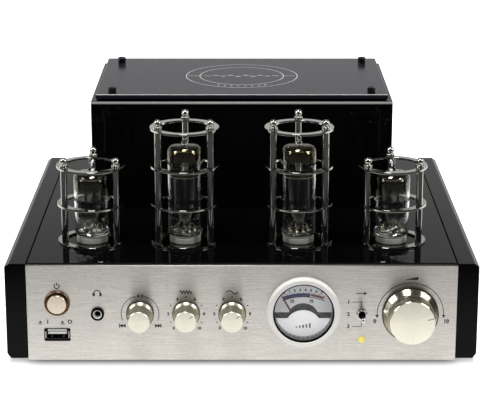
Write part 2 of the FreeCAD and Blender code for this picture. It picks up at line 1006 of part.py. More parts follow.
def main():
    os.makedirs("parts", exist_ok=True)

    save("front_panel", front_panel())
    cheek = right_cheek()
    save("right_cheek", cheek)
    save("left_cheek", mirrored_x(cheek))
    save("deck_plate", deck_plate())
    save("base_tray", base_tray())
    save("rear_panel", rear_panel())
    save("feet", *feet())

    save("transformer_cover", transformer_cover())
    save("cover_top_plate", cover_top_plate())
    save("cover_screws", *cover_screws())

    for number, (x, count) in enumerate(valve_places, start=1):
        save(f"guard_rings_{number}", *guard_rings(x, count))
    save("guard_rods", *guard_rods())

    tall = [valve_glass(side * tall_x, tall_shoulder, tall_dome) for side in (-1, 1)]
    short = [valve_glass(side * short_x, short_shoulder, short_dome) for side in (-1, 1)]
    save("valve_glass", *tall, *short)
    tall_tips = [valve_tip(side * tall_x, tall_dome, tall_tip) for side in (-1, 1)]
    short_tips = [valve_tip(side * short_x, short_dome, short_tip) for side in (-1, 1)]
    save("valve_tips", *tall_tips, *short_tips)
    twin = (-anode_spacing / 2, anode_spacing / 2)
    tall_stack = [valve_electrodes(side * tall_x, tall_micas, twin, tall_anode) for side in (-1, 1)]
    short_stack = [valve_electrodes(side * short_x, short_micas, (0.0,), short_anode) for side in (-1, 1)]
    save("tall_valve_electrodes", *tall_stack)
    save("short_valve_electrodes", *short_stack)
    save("valve_sockets", *[valve_socket(x) for x, _ in valve_places])

    places = (("track", track_x, track_gap), ("treble", treble_x, knob_gap), ("bass", bass_x, knob_gap))
    for name, x, gap in places:
        back = front_y - gap
        save(f"{name}_knob", small_knob(x, back))
        save(f"{name}_shaft", shaft(x, small_z(), back))
    volume_z = panel_top - volume_drop
    back = front_y - knob_gap
    save("volume_knob", volume_knob(volume_z, back))
    save("volume_shaft", shaft(volume_x, volume_z, back))
    save("volume_control", control(volume_x, volume_z, volume_pot_size, shaft_clearance))
    save("tone_controls", *[control(x, small_z(), small_pot, shaft_clearance) for x in (treble_x, bass_x)])
    save("track_encoder", control(track_x, small_z(), small_pot, track_travel + track_spare))

    save("power_ring", power_ring())
    save("power_cap", power_cap())
    save("power_switch", power_switch())
    save("phones_jack", phones_jack())
    save("usb_port", usb_port())
    save("toggle_bushing", toggle_bushing())
    save("toggle_lever", toggle_lever())
    save("toggle_switch", toggle_switch())
    save("source_lamp", source_lamp())

    save("meter_bezel", meter_bezel())
    save("meter_glass", meter_glass())
    save("meter_case", meter_case())
    save("meter_dial", meter_dial())
    save("meter_needle", meter_needle())
    save("meter_mask", meter_mask())

    save("terminal_plates", *terminal_plates())
    save("rca_jacks", *rca_jacks())
    save("post_studs", *post_studs())
    for number, cap in enumerate(post_caps(), start=1):
        save(f"post_cap_{number}", cap)
    save("mains_inlet", mains_inlet())
    save("fuse_drawer", fuse_drawer())

    save("transformer_core", transformer_core())
    save("transformer_winding", transformer_winding())
    save("filter_cans", *filter_cans())
    save("main_board", main_board())
    save("heat_sink", heat_sink())


main()
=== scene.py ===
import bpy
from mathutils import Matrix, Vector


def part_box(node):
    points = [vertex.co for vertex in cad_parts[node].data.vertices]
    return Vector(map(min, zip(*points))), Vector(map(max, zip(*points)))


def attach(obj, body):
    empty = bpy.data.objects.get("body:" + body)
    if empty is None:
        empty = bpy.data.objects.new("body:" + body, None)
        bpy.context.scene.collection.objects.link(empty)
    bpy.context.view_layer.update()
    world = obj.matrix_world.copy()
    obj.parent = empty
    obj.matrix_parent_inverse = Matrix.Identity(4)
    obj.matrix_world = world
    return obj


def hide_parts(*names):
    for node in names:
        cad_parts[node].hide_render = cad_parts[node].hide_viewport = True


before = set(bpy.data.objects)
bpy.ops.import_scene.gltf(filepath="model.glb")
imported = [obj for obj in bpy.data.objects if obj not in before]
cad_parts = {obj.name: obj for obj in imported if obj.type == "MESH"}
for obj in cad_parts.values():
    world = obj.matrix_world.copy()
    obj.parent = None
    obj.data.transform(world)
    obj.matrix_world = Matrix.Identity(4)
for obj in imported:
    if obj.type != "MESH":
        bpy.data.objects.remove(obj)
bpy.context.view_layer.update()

from math import atan2, copysign, cos, degrees, pi, radians, sin, sqrt

import bmesh
import bpy
from mathutils import Matrix, Vector

# Looks of a stereo valve amplifier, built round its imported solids.
# Sizes are in millimetres and become metres when a mesh is made. X to the right, Y to the back, Z up.
# A piece on the front or the rear is drawn lying down, with its own Z axis towards the viewer.

MM = 0.001
UPRIGHT = Matrix()
FORWARD = Matrix.Rotation(pi / 2, 4, "X")
BACKWARD = Matrix.Rotation(-pi / 2, 4, "X")
BODY = "amplifier"


def node_box(node):
    low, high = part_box(node)
    return low / MM, high / MM


def centre(node):
    low, high = node_box(node)
    return (low + high) / 2


def depth_of(node):
    low, high = node_box(node)
    return high.y - low.y


panel_low, panel_high = node_box("front_panel")
front_y = panel_low.y
panel_top = panel_high.z
deck_top = node_box("deck_plate")[1].z


# Colours and shader nodes

NO_COLOUR = (0.0, 0.0, 0.0, 1.0)


def tint(red, green, blue):
    """A linear colour from display values of 0 to 255."""
    shades = []
    for value in (red, green, blue):
        level = value / 255
        shades.append(level / 12.92 if level <= 0.04045 else ((level + 0.055) / 1.055) ** 2.4)
    return (*shades, 1.0)


def shade(colour, level):
    """A colour at a share of its brightness."""
    return (*(min(part * level, 1.0) for part in colour[:3]), 1.0)


def add(kind, inputs, **settings):
    """Adds a node to the tree of the outputs that feed it. inputs are by name or by number."""
    tree = next(value.id_data for value in inputs.values() if isinstance(value, bpy.types.NodeSocket))
    node = tree.nodes.new("ShaderNode" + kind)
    for key, value in settings.items():
        setattr(node, key, value)
    for key, value in inputs.items():
        if isinstance(value, bpy.types.NodeSocket):
            tree.links.new(value, node.inputs[key])
        else:
            node.inputs[key].default_value = value
    return node


# calc is arithmetic on numbers and vector on vectors; blend mixes two colours and between two numbers


def calc(operation, *values, **settings):
    return add("Math", dict(enumerate(values)), operation=operation, **settings).outputs[0]


def vector(operation, *values):
    node = add("VectorMath", dict(enumerate(values)), operation=operation)
    return node.outputs["Value" if operation in ("LENGTH", "DOT_PRODUCT") else "Vector"]


def parts(place):
    return add("SeparateXYZ", {"Vector": place}).outputs


def flat(x, y):
    return add("CombineXYZ", {"X": x, "Y": y}).outputs[0]


def remap(value, start=0.0, end=1.0, low=0.0, high=1.0, kind="LINEAR"):
    """Turns start into low and end into high; what lies beyond stays at those ends."""
    inputs = {"Value": value, "From Min": start, "From Max": end, "To Min": low, "To Max": high}
    return add("MapRange", inputs, interpolation_type=kind).outputs[0]


def blend(share, first, second):
    return add("Mix", {0: share, 6: first, 7: second}, data_type="RGBA").outputs[2]


def between(share, first, second):
    return add("Mix", {0: share, 2: first, 3: second}, data_type="FLOAT").outputs[0]


def about(share, value):
    """The value, less or more by up to a fifth."""
    return remap(share, low=value * 0.8, high=value * 1.2)


def mottled(share, colour, tone):
    """The colour, darker or lighter by up to a tone."""
    return blend(share, shade(colour, 1 - tone), shade(colour, 1 + tone))


def source(tree, kind, output):
    """What a node without inputs gives."""
    return tree.nodes.new("ShaderNode" + kind).outputs[output]


def own_place(tree):
    return source(tree, "TexCoord", "Object")


def facing(tree):
    return source(tree, "NewGeometry", "Normal")


def relief(height, strength, depth):
    inputs = {"Height": height, "Strength": strength, "Distance": depth * MM}
    return add("Bump", inputs).outputs[0]


def noise(place, scale, detail, roughness=0.5):
    inputs = {"Vector": place, "Scale": scale, "Detail": detail, "Roughness": roughness}
    return add("TexNoise", inputs).outputs["Fac"]


def grain(tree, grains, detail=4.0):
    """Noise in the object's own space, with one or three numbers of grains to a millimetre."""
    counts = grains if isinstance(grains, tuple) else (grains,) * 3
    scale = [count / MM for count in counts]
    place = add("Mapping", {"Vector": own_place(tree), "Scale": scale}).outputs[0]
    return noise(place, 1.0, detail, 0.6)


def shader_input(material, key):
    """An input of the material's shader, named with _ for a space."""
    return material.node_tree.nodes["Principled BSDF"].inputs[key.replace("_", " ")]


def new_material(name, **settings):
    """A material and its node tree."""
    material = bpy.data.materials.new(name)
    material.use_nodes = True
    for key, value in settings.items():
        shader_input(material, key).default_value = value
    return material, material.node_tree


def feed(material, **outputs):
    for key, output in outputs.items():
        material.node_tree.links.new(output, shader_input(material, key))
    return material


# Kinds of finish


def surface(name, colour, roughness, grains, tone=0.15, spread=0.1, bump=0.1, depth=0.05, **settings):
    """A finish whose colour varies by tone, roughness by spread and height by bump, with a grain."""
    material, tree = new_material(name, **settings)
    fac = grain(tree, grains)
    rough = remap(fac, low=max(roughness - spread, 0.0), high=roughness + spread)
    colour = mottled(fac, colour, tone)
    return feed(material, Base_Color=colour, Roughness=rough, Normal=relief(fac, bump, depth))


def turned_metal(name, colour, roughness, anisotropy, tone=0.14):
    """Metal turned about the piece's own Z axis, with fine grooves; its colour also varies in faint rays
    round the axis, a painted sheen.
    """
    pitch = 0.12
    rays_about = 9.0
    groove_share = 0.4
    material, tree = new_material(name, Metallic=1.0, Anisotropic=anisotropy)
    place = own_place(tree)
    x, y, z = parts(place)
    level = flat(x, y)
    section = flat(vector("LENGTH", level), z)
    scaled = add("Mapping", {"Vector": section, "Scale": (1 / (pitch * MM),) * 3})
    grooves = noise(scaled.outputs[0], 1.0, 3.0)
    # Faint lighter and darker rays round the axis: a random tone that stands in for streaks of reflection,
    # painted sheen.
    painted_sheen = noise(vector("NORMALIZE", level), rays_about, 3.0)
    share = remap(calc("MULTIPLY_ADD", grooves, groove_share, painted_sheen), groove_share, 1.0)
    around = add(
        "VectorTransform", {"Vector": vector("CROSS_PRODUCT", (0, 0, 1), place)},
        vector_type="VECTOR", convert_from="OBJECT", convert_to="WORLD",
    )
    return feed(
        material,
        Base_Color=mottled(share, colour, tone),
        Roughness=about(grooves, roughness),
        Normal=relief(grooves, 0.15, 0.02),
        Tangent=vector("CROSS_PRODUCT", around.outputs[0], facing(tree)),
    )


def brushed_panel(name, colour):
    """Aluminium brushed from side to side. Its chamfer and top are rough, and their colour is painted nearly
    black as shade.
    """
    material, tree = new_material(name, Metallic=1.0, Anisotropic=0.9, Specular_Tint=NO_COLOUR)
    fine = grain(tree, (0.35, 0.35, 2.8), 5.0)
    broad = grain(tree, (0.07, 0.07, 2.2), 3.0)
    streaks = remap(calc("ADD", fine, broad), 0.7, 1.3)
    face = mottled(streaks, colour, 0.22)
    normal = facing(tree)
    # Faces that lean up and the strip along the top are painted nearly black: painted shade, not a different
    # metal.
    chamfer = remap(parts(normal)[2], 0.4, 0.7, high=0.7)
    height = parts(own_place(tree))[2]
    top = remap(height, (panel_top - 0.9) * MM, (panel_top - 0.5) * MM)
    painted_top_shade = calc("MAXIMUM", chamfer, top)
    return feed(
        material,
        Base_Color=blend(painted_top_shade, face, shade(colour, 0.02)),
        Roughness=between(top, remap(fine, low=0.3, high=0.42), 0.95),
        Normal=relief(fine, 0.1, 0.02),
        Tangent=vector("CROSS_PRODUCT", (1, 0, 0), normal),
    )


def edged(name, colour, roughness, painted_highlight_colour, **settings):
    """A dark finish with a painted highlight: a lighter colour on faces that lean between front and top."""
    material, tree = new_material(name, **settings)
    half_way = (0, -sqrt(0.5), sqrt(0.5))
    # The lighter colour goes where the normal leans between front and top: a painted highlight.
    edge = remap(vector("DOT_PRODUCT", facing(tree), half_way), 0.85, 0.97)
    fac = grain(tree, 0.5)
    colour = blend(edge, mottled(fac, colour, 0.2), painted_highlight_colour)
    return feed(material, Base_Color=colour, Roughness=about(fac, roughness))


def getter_mirror(name, start, end, colour):
    """The film inside a bulb, that fades out downwards between two heights above the deck."""
    ragged = 2.0
    material, tree = new_material(name, Metallic=1.0, Base_Color=(*colour, 1.0))
    lift = calc("MULTIPLY", grain(tree, 0.15), ragged * MM)
    height = calc("ADD", parts(own_place(tree))[2], lift)
    film = remap(height, start * MM, end * MM)
    return feed(material, Roughness=remap(film, low=0.09, high=0.05), Alpha=film)


def stripes(name, first, second, direction, pitch, roughness):
    """Layers across one direction, as in a coil or a stack of sheets."""
    pitch_at_scale_one = 0.314
    material, tree = new_material(name, Roughness=roughness)
    inputs = {"Vector": own_place(tree), "Scale": pitch_at_scale_one / (pitch * MM), "Distortion": 0.4}
    fac = add("TexWave", inputs, bands_direction=direction).outputs["Fac"]
    return feed(material, Base_Color=blend(fac, first, second), Normal=relief(fac, 0.4, 0.1))


# Finishes: colour, roughness, grains to a millimetre, and by how much tone, roughness and height vary

black = tint(4, 4, 5)
gloss = surface("black_gloss", black, 0.035, 0.04, 0.3, 0.02, 0.04, IOR=1.17)
# The covers' folds and front edges get a painted highlight, a lighter colour chosen by how the faces lean.
satin = edged("cover_satin", tint(24, 26, 34), 0.2, tint(205, 205, 203), IOR=1.192)
box_gloss = edged("cover_gloss", black, 0.035, tint(125, 125, 123), IOR=1.17)
panel = brushed_panel("panel_aluminium", (0.695, 0.665, 0.62))
steel = surface("black_steel", tint(30, 30, 31), 0.5, 3.0, 0.2, 0.12, 0.3)
jet = surface("jet_black", black, 0.1, 1.0, 0.3, 0.05, 0.05, IOR=1.1)
rubber = surface("foot_rubber", tint(28, 28, 28), 0.75, 2.0, 0.25, 0.1, 0.4, 0.1)
screw = surface("black_screw", tint(78, 78, 82), 0.14, 1.5, 0.3, 0.1, 0.2, Metallic=1.0)
chrome = surface("guard_chrome", (0.52, 0.51, 0.47), 0.05, 0.3, 0.05, 0.03, 0.03, Metallic=1.0)
bulb_glass = surface(
    "valve_glass", (0.97, 0.98, 0.97), 0.008, 0.08, 0.02, 0.008, 0.03, 0.1,
    IOR=1.45, Transmission_Weight=1.0,
)
anode = surface("electrode_grey", tint(30, 31, 34), 0.42, 1.2, 0.35, 0.15, 0.2, Metallic=0.5)
mica = surface("valve_mica", (0.07, 0.065, 0.05), 0.25, 0.8, 0.4, 0.1, 0.1, Alpha=0.5)
mica_rim = surface("mica_rim", (0.62, 0.52, 0.27), 0.3, 1.5, 0.3, 0.1, 0.1, Metallic=0.6)
pin_metal = surface("valve_pins", (0.8, 0.76, 0.56), 0.22, 2.0, 0.2, 0.1, 0.1, Metallic=1.0)
wire = surface("valve_wire", (0.36, 0.34, 0.26), 0.2, 2.0, 0.3, 0.08, 0.1, Metallic=1.0)
film_tall = getter_mirror("getter_tall", 51.5, 53.5, (0.14, 0.12, 0.07))
film_short = getter_mirror("getter_short", 31.5, 36.0, (0.12, 0.115, 0.09))
ceramic = surface("socket_ceramic", tint(172, 171, 164), 0.45, 1.0, 0.08, 0.1, 0.15)
turned = turned_metal("knob_aluminium", (0.78, 0.745, 0.6), 0.16, 0.5)
# The small knobs' metal is rougher, and its colour is darkened as painted shade.
turned_soft_shaded = turned_metal("knob_satin", (0.66, 0.625, 0.5), 0.34, 0.3)
# The knob faces are the same metal in a lighter colour, painted light; their rougher spin is real.
turned_face_lit = turned_metal("knob_face", (0.84, 0.8, 0.675), 0.3, 0.4, 0.07)
# The button cap's side takes a darker copy of the cap's metal, painted shade; the face takes the lighter
# one.
button_side_shaded = turned_metal("button_side_shaded", (0.5, 0.4, 0.28), 0.3, 0.3)
button_face = turned_metal("button_face", (0.78, 0.685, 0.56), 0.3, 0.4)
copper = turned_metal("copper_ring", (0.27, 0.18, 0.12), 0.3, 0.3, 0.1)
# The knobs' feet are painted dark: painted shade of the gap between knob and panel.
painted_shade_metal = surface("knob_foot_shade", tint(58, 52, 38), 0.35, 1.5, 0.2, 0.1, 0.1, Metallic=0.7)
groove = surface("groove_shadow", tint(92, 88, 78), 0.5, 4.0, 0.3)
bezel_metal = surface("bezel_aluminium", (0.76, 0.745, 0.715), 0.55, 1.5, 0.04, 0.06, Metallic=0.35)
shaft_steel = surface("shaft_steel", (0.6, 0.6, 0.6), 0.25, 1.0, Metallic=1.0)
liner = surface("socket_liner", (0.38, 0.37, 0.34), 0.3, 1.0, Metallic=1.0)
gold = surface("terminal_gold", (0.85, 0.62, 0.25), 0.18, 0.8, 0.1, 0.06, 0.08, Metallic=1.0)
plastic = surface("black_plastic", tint(20, 20, 21), 0.3, 2.5, 0.2, 0.1, 0.15)
red_plastic = surface("red_plastic", tint(150, 16, 18), 0.3, 2.5, 0.1, 0.1, 0.15)
white_plastic = surface("white_plastic", tint(225, 225, 220), 0.35, 2.5, 0.04)
control = surface("control_plastic", tint(45, 45, 50), 0.5, 2.0, 0.2, 0.1, 0.2)
sleeve = surface("can_sleeve", tint(30, 32, 62), 0.35, 0.5)
board = surface("board_green", tint(24, 92, 44), 0.4, (0.4, 1.5, 1.0), 0.4)
laminations = stripes("core_steel", tint(66, 66, 68), tint(38, 38, 40), "Y", 0.5, 0.5)
winding = stripes("winding_wrap", tint(196, 160, 70), tint(150, 118, 44), "Z", 1.0, 0.55)
needle_paint = surface("needle_paint", tint(96, 24, 28), 0.45, 3.0)
amber = surface(
    "amber_lens", tint(190, 176, 86), 0.2, 1.0, 0.1, 0.05,
    Emission_Color=tint(255, 240, 120), Emission_Strength=0.45,
)
meter_pane = surface("meter_glass", (0.9, 0.92, 0.92), 0.02, 0.05, 0.05, 0.01, 0.02, Alpha=0.03)
throat_grey = surface("throat_grey", tint(150, 150, 147), 0.35, 1.5, 0.06, 0.06)
dial_tint = tint(222, 222, 225)
plate_tint = tint(248, 248, 250)
# Both dial papers glow a little, though the meter has no lamp: painted light against the shade inside the
# bezel.
paper = surface(
    "dial_paper", dial_tint, 0.7, 1.5, 0.03, 0.05,
    Emission_Color=dial_tint, Emission_Strength=0.1,
)
glowing_white_paper = surface(
    "dial_white", plate_tint, 0.6, 1.5, 0.02, 0.05,
    Emission_Color=plate_tint, Emission_Strength=0.3,
)
grey_paper = surface("dial_grey", tint(40, 40, 42), 0.6, 1.5, 0.05, 0.05)
blue_ink = surface("dial_blue", tint(42, 44, 98), 0.6, 2.0)
red_ink = surface("dial_red", tint(120, 38, 42), 0.6, 2.0)
ink = surface("legend_ink", tint(16, 15, 15), 0.5, 3.0, 0.3)
grey_ink = surface("emblem_ink", tint(180, 180, 180), 0.45, 3.0, 0.2)


# Meshes


class Shape:
    """Vertices and faces of one mesh, in millimetres; each face has a finish number."""

    def __init__(self):
        self.vertices = []
        self.faces = []
        self.finishes = []
        self.inward = []

    def add(self, part, place=UPRIGHT, finish=0, inward=False):
        """inward marks the skin of a hollow, which faces the hollow."""
        vertices, faces = part
        start = len(self.vertices)
        self.vertices += [place @ Vector(vertex) for vertex in vertices]
        self.faces += [[start + i for i in face] for face in faces]
        self.finishes += [finish] * len(faces)
        self.inward += [inward] * len(faces)
        return self


def at(x, y, z=0.0, turn=UPRIGHT):
    return Matrix.Translation((x, y, z)) @ turn


def evenly(start, end, steps):
    """Values from start to end, both among them."""
    return [start + (end - start) * i / steps for i in range(steps + 1)]


def spun(angle):
    return Matrix.Rotation(radians(angle), 4, "Z")


def polar(radius, angle):
    """The point at a radius and an angle from the X axis, in degrees."""
    return radius * cos(radians(angle)), radius * sin(radians(angle))


def clock(radius, angle):
    """The point at a radius and an angle clockwise from straight up."""
    return polar(radius, 90 - angle)


def new_object(name, data):
    made = bpy.data.objects.new(name, data)
    bpy.context.scene.collection.objects.link(made)
    return made


def piece(name, shape, materials, slot, place, *replaced, body=BODY, sharp=32.0):
    """Makes the object, attaches it to its body and hides the CAD nodes that it replaces."""
    mesh = bpy.data.meshes.new(name)
    mesh.from_pydata([vertex * MM for vertex in shape.vertices], [], shape.faces)
    mesh.polygons.foreach_set("material_index", shape.finishes)
    work = bmesh.new()
    work.from_mesh(mesh)
    bmesh.ops.recalc_face_normals(work, faces=work.faces)
    hollow = [face for face, inward in zip(work.faces, shape.inward) if inward]
    bmesh.ops.reverse_faces(work, faces=hollow)
    work.to_mesh(mesh)
    work.free()
    mesh.polygons.foreach_set("use_smooth", [True] * len(mesh.polygons))
    mesh.set_sharp_from_angle(angle=radians(sharp))
    for material in materials:
        mesh.materials.append(material)
    made = new_object(name, mesh)
    place = place.copy()
    place.translation *= MM
    made.matrix_world = place
    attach(made, body)
    if replaced:
        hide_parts(*replaced)


def rounded(points, closed=False, steps=4):
    """Rounds the corners of an outline of (across, up) points that have a rounding as third value."""
    result = []
    count = len(points)
    for i, point in enumerate(points):
        here = Vector(point[:2])
        size = point[2] if len(point) > 2 else 0
        if not size or (not closed and i in (0, count - 1)):
            result.append(here)
            continue
        before = Vector(points[i - 1][:2]) - here
        after = Vector(points[(i + 1) % count][:2]) - here
        start = here + before.normalized() * min(size, before.length / 2)
        end = here + after.normalized() * min(size, after.length / 2)
        for step in range(steps + 1):
            t = step / steps
            result.append(start * (1 - t) ** 2 + here * 2 * t * (1 - t) + end * t * t)
    return result


def rectangle(left, low, right, high, rounding=0.0):
    return [(left, low, rounding), (right, low, rounding), (right, high, rounding), (left, high, rounding)]


def oblong(width, height, rounding, steps=4):
    """A rectangle with round corners about the origin."""
    return rounded(rectangle(-width / 2, -height / 2, width / 2, height / 2, rounding), True, steps)


def skin(rows, closed=False, capped=False):
    """Joins rings of points, and the last to the first where it is closed. A ring may be one point."""
    vertices = []
    rings = []
    for row in rows:
        rings.append(range(len(vertices), len(vertices) + len(row)))
        vertices += row
    count = max(len(ring) for ring in rings)
    faces = [list(rings[0]), list(rings[-1])] if capped else []
    for low, high in zip(rings, [*rings[1:], rings[0]] if closed else rings[1:]):
        for i in range(count):
            j = (i + 1) % count
            corners = [low[i % len(low)], low[j % len(low)], high[j % len(high)], high[i % len(high)]]
            faces.append(list(dict.fromkeys(corners)))
    return vertices, faces


def lathe(outline, segments, closed=False, steps=4, across=None):
    """Turns (radius, height, rounding) points about Z. across scales a radius by the angle."""
    rows = []
    for radius, height in rounded(outline, closed, steps):
        if radius < 1e-6:
            rows.append([(0, 0, height)])
            continue
        row = []
        for i in range(segments):
            angle = 2 * pi * i / segments
            reach = radius * (across(angle, radius) if across else 1)
            row.append((reach * cos(angle), reach * sin(angle), height))
        rows.append(row)
    return skin(rows, closed)


def hexagon(angle):
    """How far out a six-sided outline is, where a corner is at one."""
    return cos(pi / 6) / cos(angle % (pi / 3) - pi / 6)


def prism(outline, low, high):
    """Extrudes a closed (x, y) outline from one height to another."""
    return skin([[(*point[:2], z) for point in outline] for z in (low, high)], capped=True)


def rod(start, end, radius):
    start, end = Vector(start), Vector(end)
    length = (end - start).length
    turn = Vector((0, 0, 1)).rotation_difference(end - start).to_matrix().to_4x4()
    vertices, faces = lathe([(0, 0), (radius, 0), (radius, length), (0, length)], 8)
    place = Matrix.Translation(start) @ turn
    return [place @ Vector(vertex) for vertex in vertices], faces


def rounded_box(width, depth, height, rounding):
    """A box that stands on Z = 0, with rounded upright edges and a rounded top."""
    outline = oblong(width, depth, rounding, 3)
    side = rounded([(0, 0), (0, height, rounding / 2), (rounding / 2, height)], False, 3)
    rows = [
        [(x - copysign(inset, x), y - copysign(inset, y), level) for x, y in outline]
        for inset, level in side
    ]
    return skin(rows, capped=True)


def ball_outline(radius, middle, start, end):
    """Part of a ball's outline, between two angles up from its middle."""
    points = [polar(radius, angle) for angle in evenly(start, end, 10)]
    return [(reach, middle + height) for reach, height in points]


def inner_corners(node, inset, up="z"):
    """The four corners of a node's box, seen from the front or from above, less an inset."""
    low, high = node_box(node)
    heights = (getattr(low, up) + inset, getattr(high, up) - inset)
    return [(x, height) for x in (low.x + inset, high.x - inset) for height in heights]


def dress(node, material, edge=0.0):
    """Gives a CAD node its finish and softer edges."""
    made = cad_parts[node]
    for slot in made.material_slots:
        slot.material = material
    if edge:
        weld = made.modifiers.new("weld", "WELD")
        weld.merge_threshold = 0.001 * MM
        bevel = made.modifiers.new("edge", "BEVEL")
        bevel.width = edge * MM
        bevel.segments = 3
        bevel.limit_method = "ANGLE"
        bevel.angle_limit = radians(30)


# Flat marks, drawn on a plane whose first axis is to the right and second upwards

MARK_LIFT = 0.03
MARK_SIZE_TO_FONT = 1.37
MARK_WEIGHT = 0.07


def flat_line(points, width):
    points = [Vector(point) for point in points]
    vertices = []
    for i, point in enumerate(points):
        along = (points[min(i + 1, len(points) - 1)] - points[max(i - 1, 0)]).normalized()
        side = Vector((-along.y, along.x)) * width / 2
        vertices += [(*(point + side), 0), (*(point - side), 0)]
    faces = [[2 * i, 2 * i + 1, 2 * i + 3, 2 * i + 2] for i in range(len(points) - 1)]
    return vertices, faces


def flat_arc(radius, start, end, width, steps=48):
    """Part of a circle; angles are clockwise from straight up, in degrees."""
    return flat_line([clock(radius, angle) for angle in evenly(start, end, steps)], width)


def flat_shape(points):
    return [(*point[:2], 0) for point in points], [list(range(len(points)))]


def flat_dot(radius):
    return flat_shape([polar(radius, 22.5 * i) for i in range(16)])


def flat_number(text, height):
    """A number in the built-in typeface, as a flat mesh about its own middle."""
    curve = bpy.data.curves.new("number", "FONT")
    curve.body = text
    curve.size = height * MARK_SIZE_TO_FONT
    curve.offset = height * MARK_WEIGHT
    curve.align_x = "CENTER"
    curve.align_y = "CENTER"
    curve.resolution_u = 3
    made = new_object("number", curve)
    bpy.context.view_layer.update()
    mesh = bpy.data.meshes.new_from_object(made)
    part = [tuple(vertex.co) for vertex in mesh.vertices], [list(face.vertices) for face in mesh.polygons]
    bpy.data.objects.remove(made)
    bpy.data.meshes.remove(mesh)
    bpy.data.curves.remove(curve)
    return part


# Case


def foot_pads():
    radius = 10.0
    top = node_box("feet")[1].z
    outline = [(0, 0), (radius - 2.0, 0, 1.0), (radius, 3.0, 1.5), (radius, top), (0, top)]
    shape = Shape()
    for x, y in inner_corners("feet", radius, "y"):
        shape.add(lathe(outline, 40), at(x, y))
    piece("foot_pads", shape, [rubber], "foot_rubber", UPRIGHT, "feet")


def socket_screws():
    low, high = node_box("cover_screws")
    radius = 2.6
    socket = 1.45
    height = high.z - low.z

    def across(angle, distance):
        if distance > socket + 0.01:
            return 1 - 0.06 * (cos(angle * 16) > 0)
        return hexagon(angle + pi / 6) / cos(pi / 6)

    outline = [
        (0, 0), (radius, 0), (radius, height, 0.7),
        (socket, height), (socket, height - 2.2), (0, height - 2.4),
    ]
    shape = Shape()
    for x, y in inner_corners("cover_screws", radius, "y"):
        shape.add(lathe(outline, 96, across=across), at(x, y, low.z))
    piece("socket_screws", shape, [screw], "black_screw", UPRIGHT, "cover_screws")


def deck_screws():
    """Two cross-head screws that hold the deck behind the front panel."""
    from_front = 5.9
    shape = Shape()
    cross = prism(rectangle(-1.0, -0.16, 1.0, 0.16), 0.72, 0.98)
    for x in (-83.3, 83.3):
        place = at(x, front_y + from_front, deck_top)
        shape.add(lathe([(1.6, 0), (1.6, 0.4, 0.3), (0, 0.95)], 28), place)
        for angle in (20, 110):
            shape.add(cross, place @ spun(angle), 1)
    piece("deck_screws", shape, [chrome, screw], "guard_chrome", UPRIGHT)


def emblem():
    """A plain design on the cover: two circles, waves across them, and dots below."""
    outer_ring = 37.4
    inner_ring = 28.2
    wavelength = 10
    shape = Shape()
    for radius in (outer_ring, inner_ring):
        shape.add(flat_arc(radius, 0, 360, 0.7, 120))
    for half, lift in ((25.0, 2.6), (22.0, 1.3)):
        points = []
        for x in evenly(-half, half, 96):
            fade = max(cos(x / half * pi / 2), 0.0) ** 0.7
            points.append((x, lift * fade * sin(x * 2 * pi / wavelength)))
        shape.add(flat_line(points, 0.9))
    for side in (-1, 1):
        shape.add(flat_line([(side * 26.5, 0), (side * 36.0, 0)], 0.8))
    for angle in range(-28, 29, 8):
        shape.add(flat_dot(0.8), at(*polar(32.8, angle - 90)))
    middle = centre("cover_top_plate")
    place = at(middle.x, middle.y - 0.9, node_box("cover_top_plate")[1].z + MARK_LIFT)
    piece("cover_emblem", shape, [grey_ink], "knob_aluminium", place)


dress("front_panel", panel)
dress("left_cheek", gloss, 0.5)
dress("right_cheek", gloss, 0.5)
dress("deck_plate", gloss, 0.3)
dress("transformer_cover", box_gloss, 0.35)
dress("cover_top_plate", satin, 0.8)
dress("base_tray", steel)
dress("rear_panel", steel, 0.2)
dress("main_board", board)
dress("heat_sink", bezel_metal)
dress("transformer_core", laminations)
dress("transformer_winding", winding)
dress("filter_cans", sleeve)
for node in ("volume_control", "tone_controls", "track_encoder", "power_switch", "toggle_switch"):
    dress(node, control)
for node in ("volume_shaft", "treble_shaft", "bass_shaft", "track_shaft"):
    dress(node, shaft_steel)
foot_pads()
socket_screws()
deck_screws()
emblem()


# Valve guards

RING_RADIUS = 21.0
RING_WIDTH = 4.7
RING_THICKNESS = 1.2
RING_PITCH = 23.5
ROD_RADIUS = 2.0
ROD_CIRCLE = 18.2
ROD_ANGLES = (90, 210, 330)


def guard(number):
    node = f"guard_rings_{number}"
    low, high = node_box(node)
    middle = centre(node)
    place = at(middle.x, middle.y)
    count = round((high.z - low.z - RING_THICKNESS) / RING_PITCH) + 1
    edge = 0.14
    flank = 0.25
    inner, outer, top = RING_RADIUS - RING_WIDTH, RING_RADIUS, RING_THICKNESS
    section = [
        (inner, 0, edge), (inner + flank, 0), (outer - flank, 0),
        (outer, 0, edge), (outer, flank), (outer, top - flank),
        (outer, top, edge), (outer - flank, top), (inner + flank, top),
        (inner, top, edge), (inner, top - flank), (inner, flank),
    ]
    rings = Shape()
    for i in range(count):
        rings.add(lathe(section, 96, True, 3), at(0, 0, low.z + i * RING_PITCH))
    piece(f"smooth_rings_{number}", rings, [chrome], "guard_chrome", place, node)
    collar = high.z + 0.1
    outline = [
        (0, deck_top), (ROD_RADIUS, deck_top), (ROD_RADIUS, collar), (ROD_RADIUS, collar),
        (2.65, collar + 0.2, 0.4), (2.65, collar + 1.9, 0.5), (1.5, collar + 2.2),
        *ball_outline(2.3, collar + 4.0, -50, 90),
    ]
    rods = Shape()
    for angle in ROD_ANGLES:
        rods.add(lathe(outline, 32), at(*polar(ROD_CIRCLE, angle)))
    piece(f"ball_rods_{number}", rods, [chrome], "guard_chrome", place, "guard_rods")


for number in (1, 2, 3, 4):
    guard(number)


# Valves

GLASS_RADIUS = 10.8
PIN_CIRCLE = 6.0
PIN_FOOT = 6.6


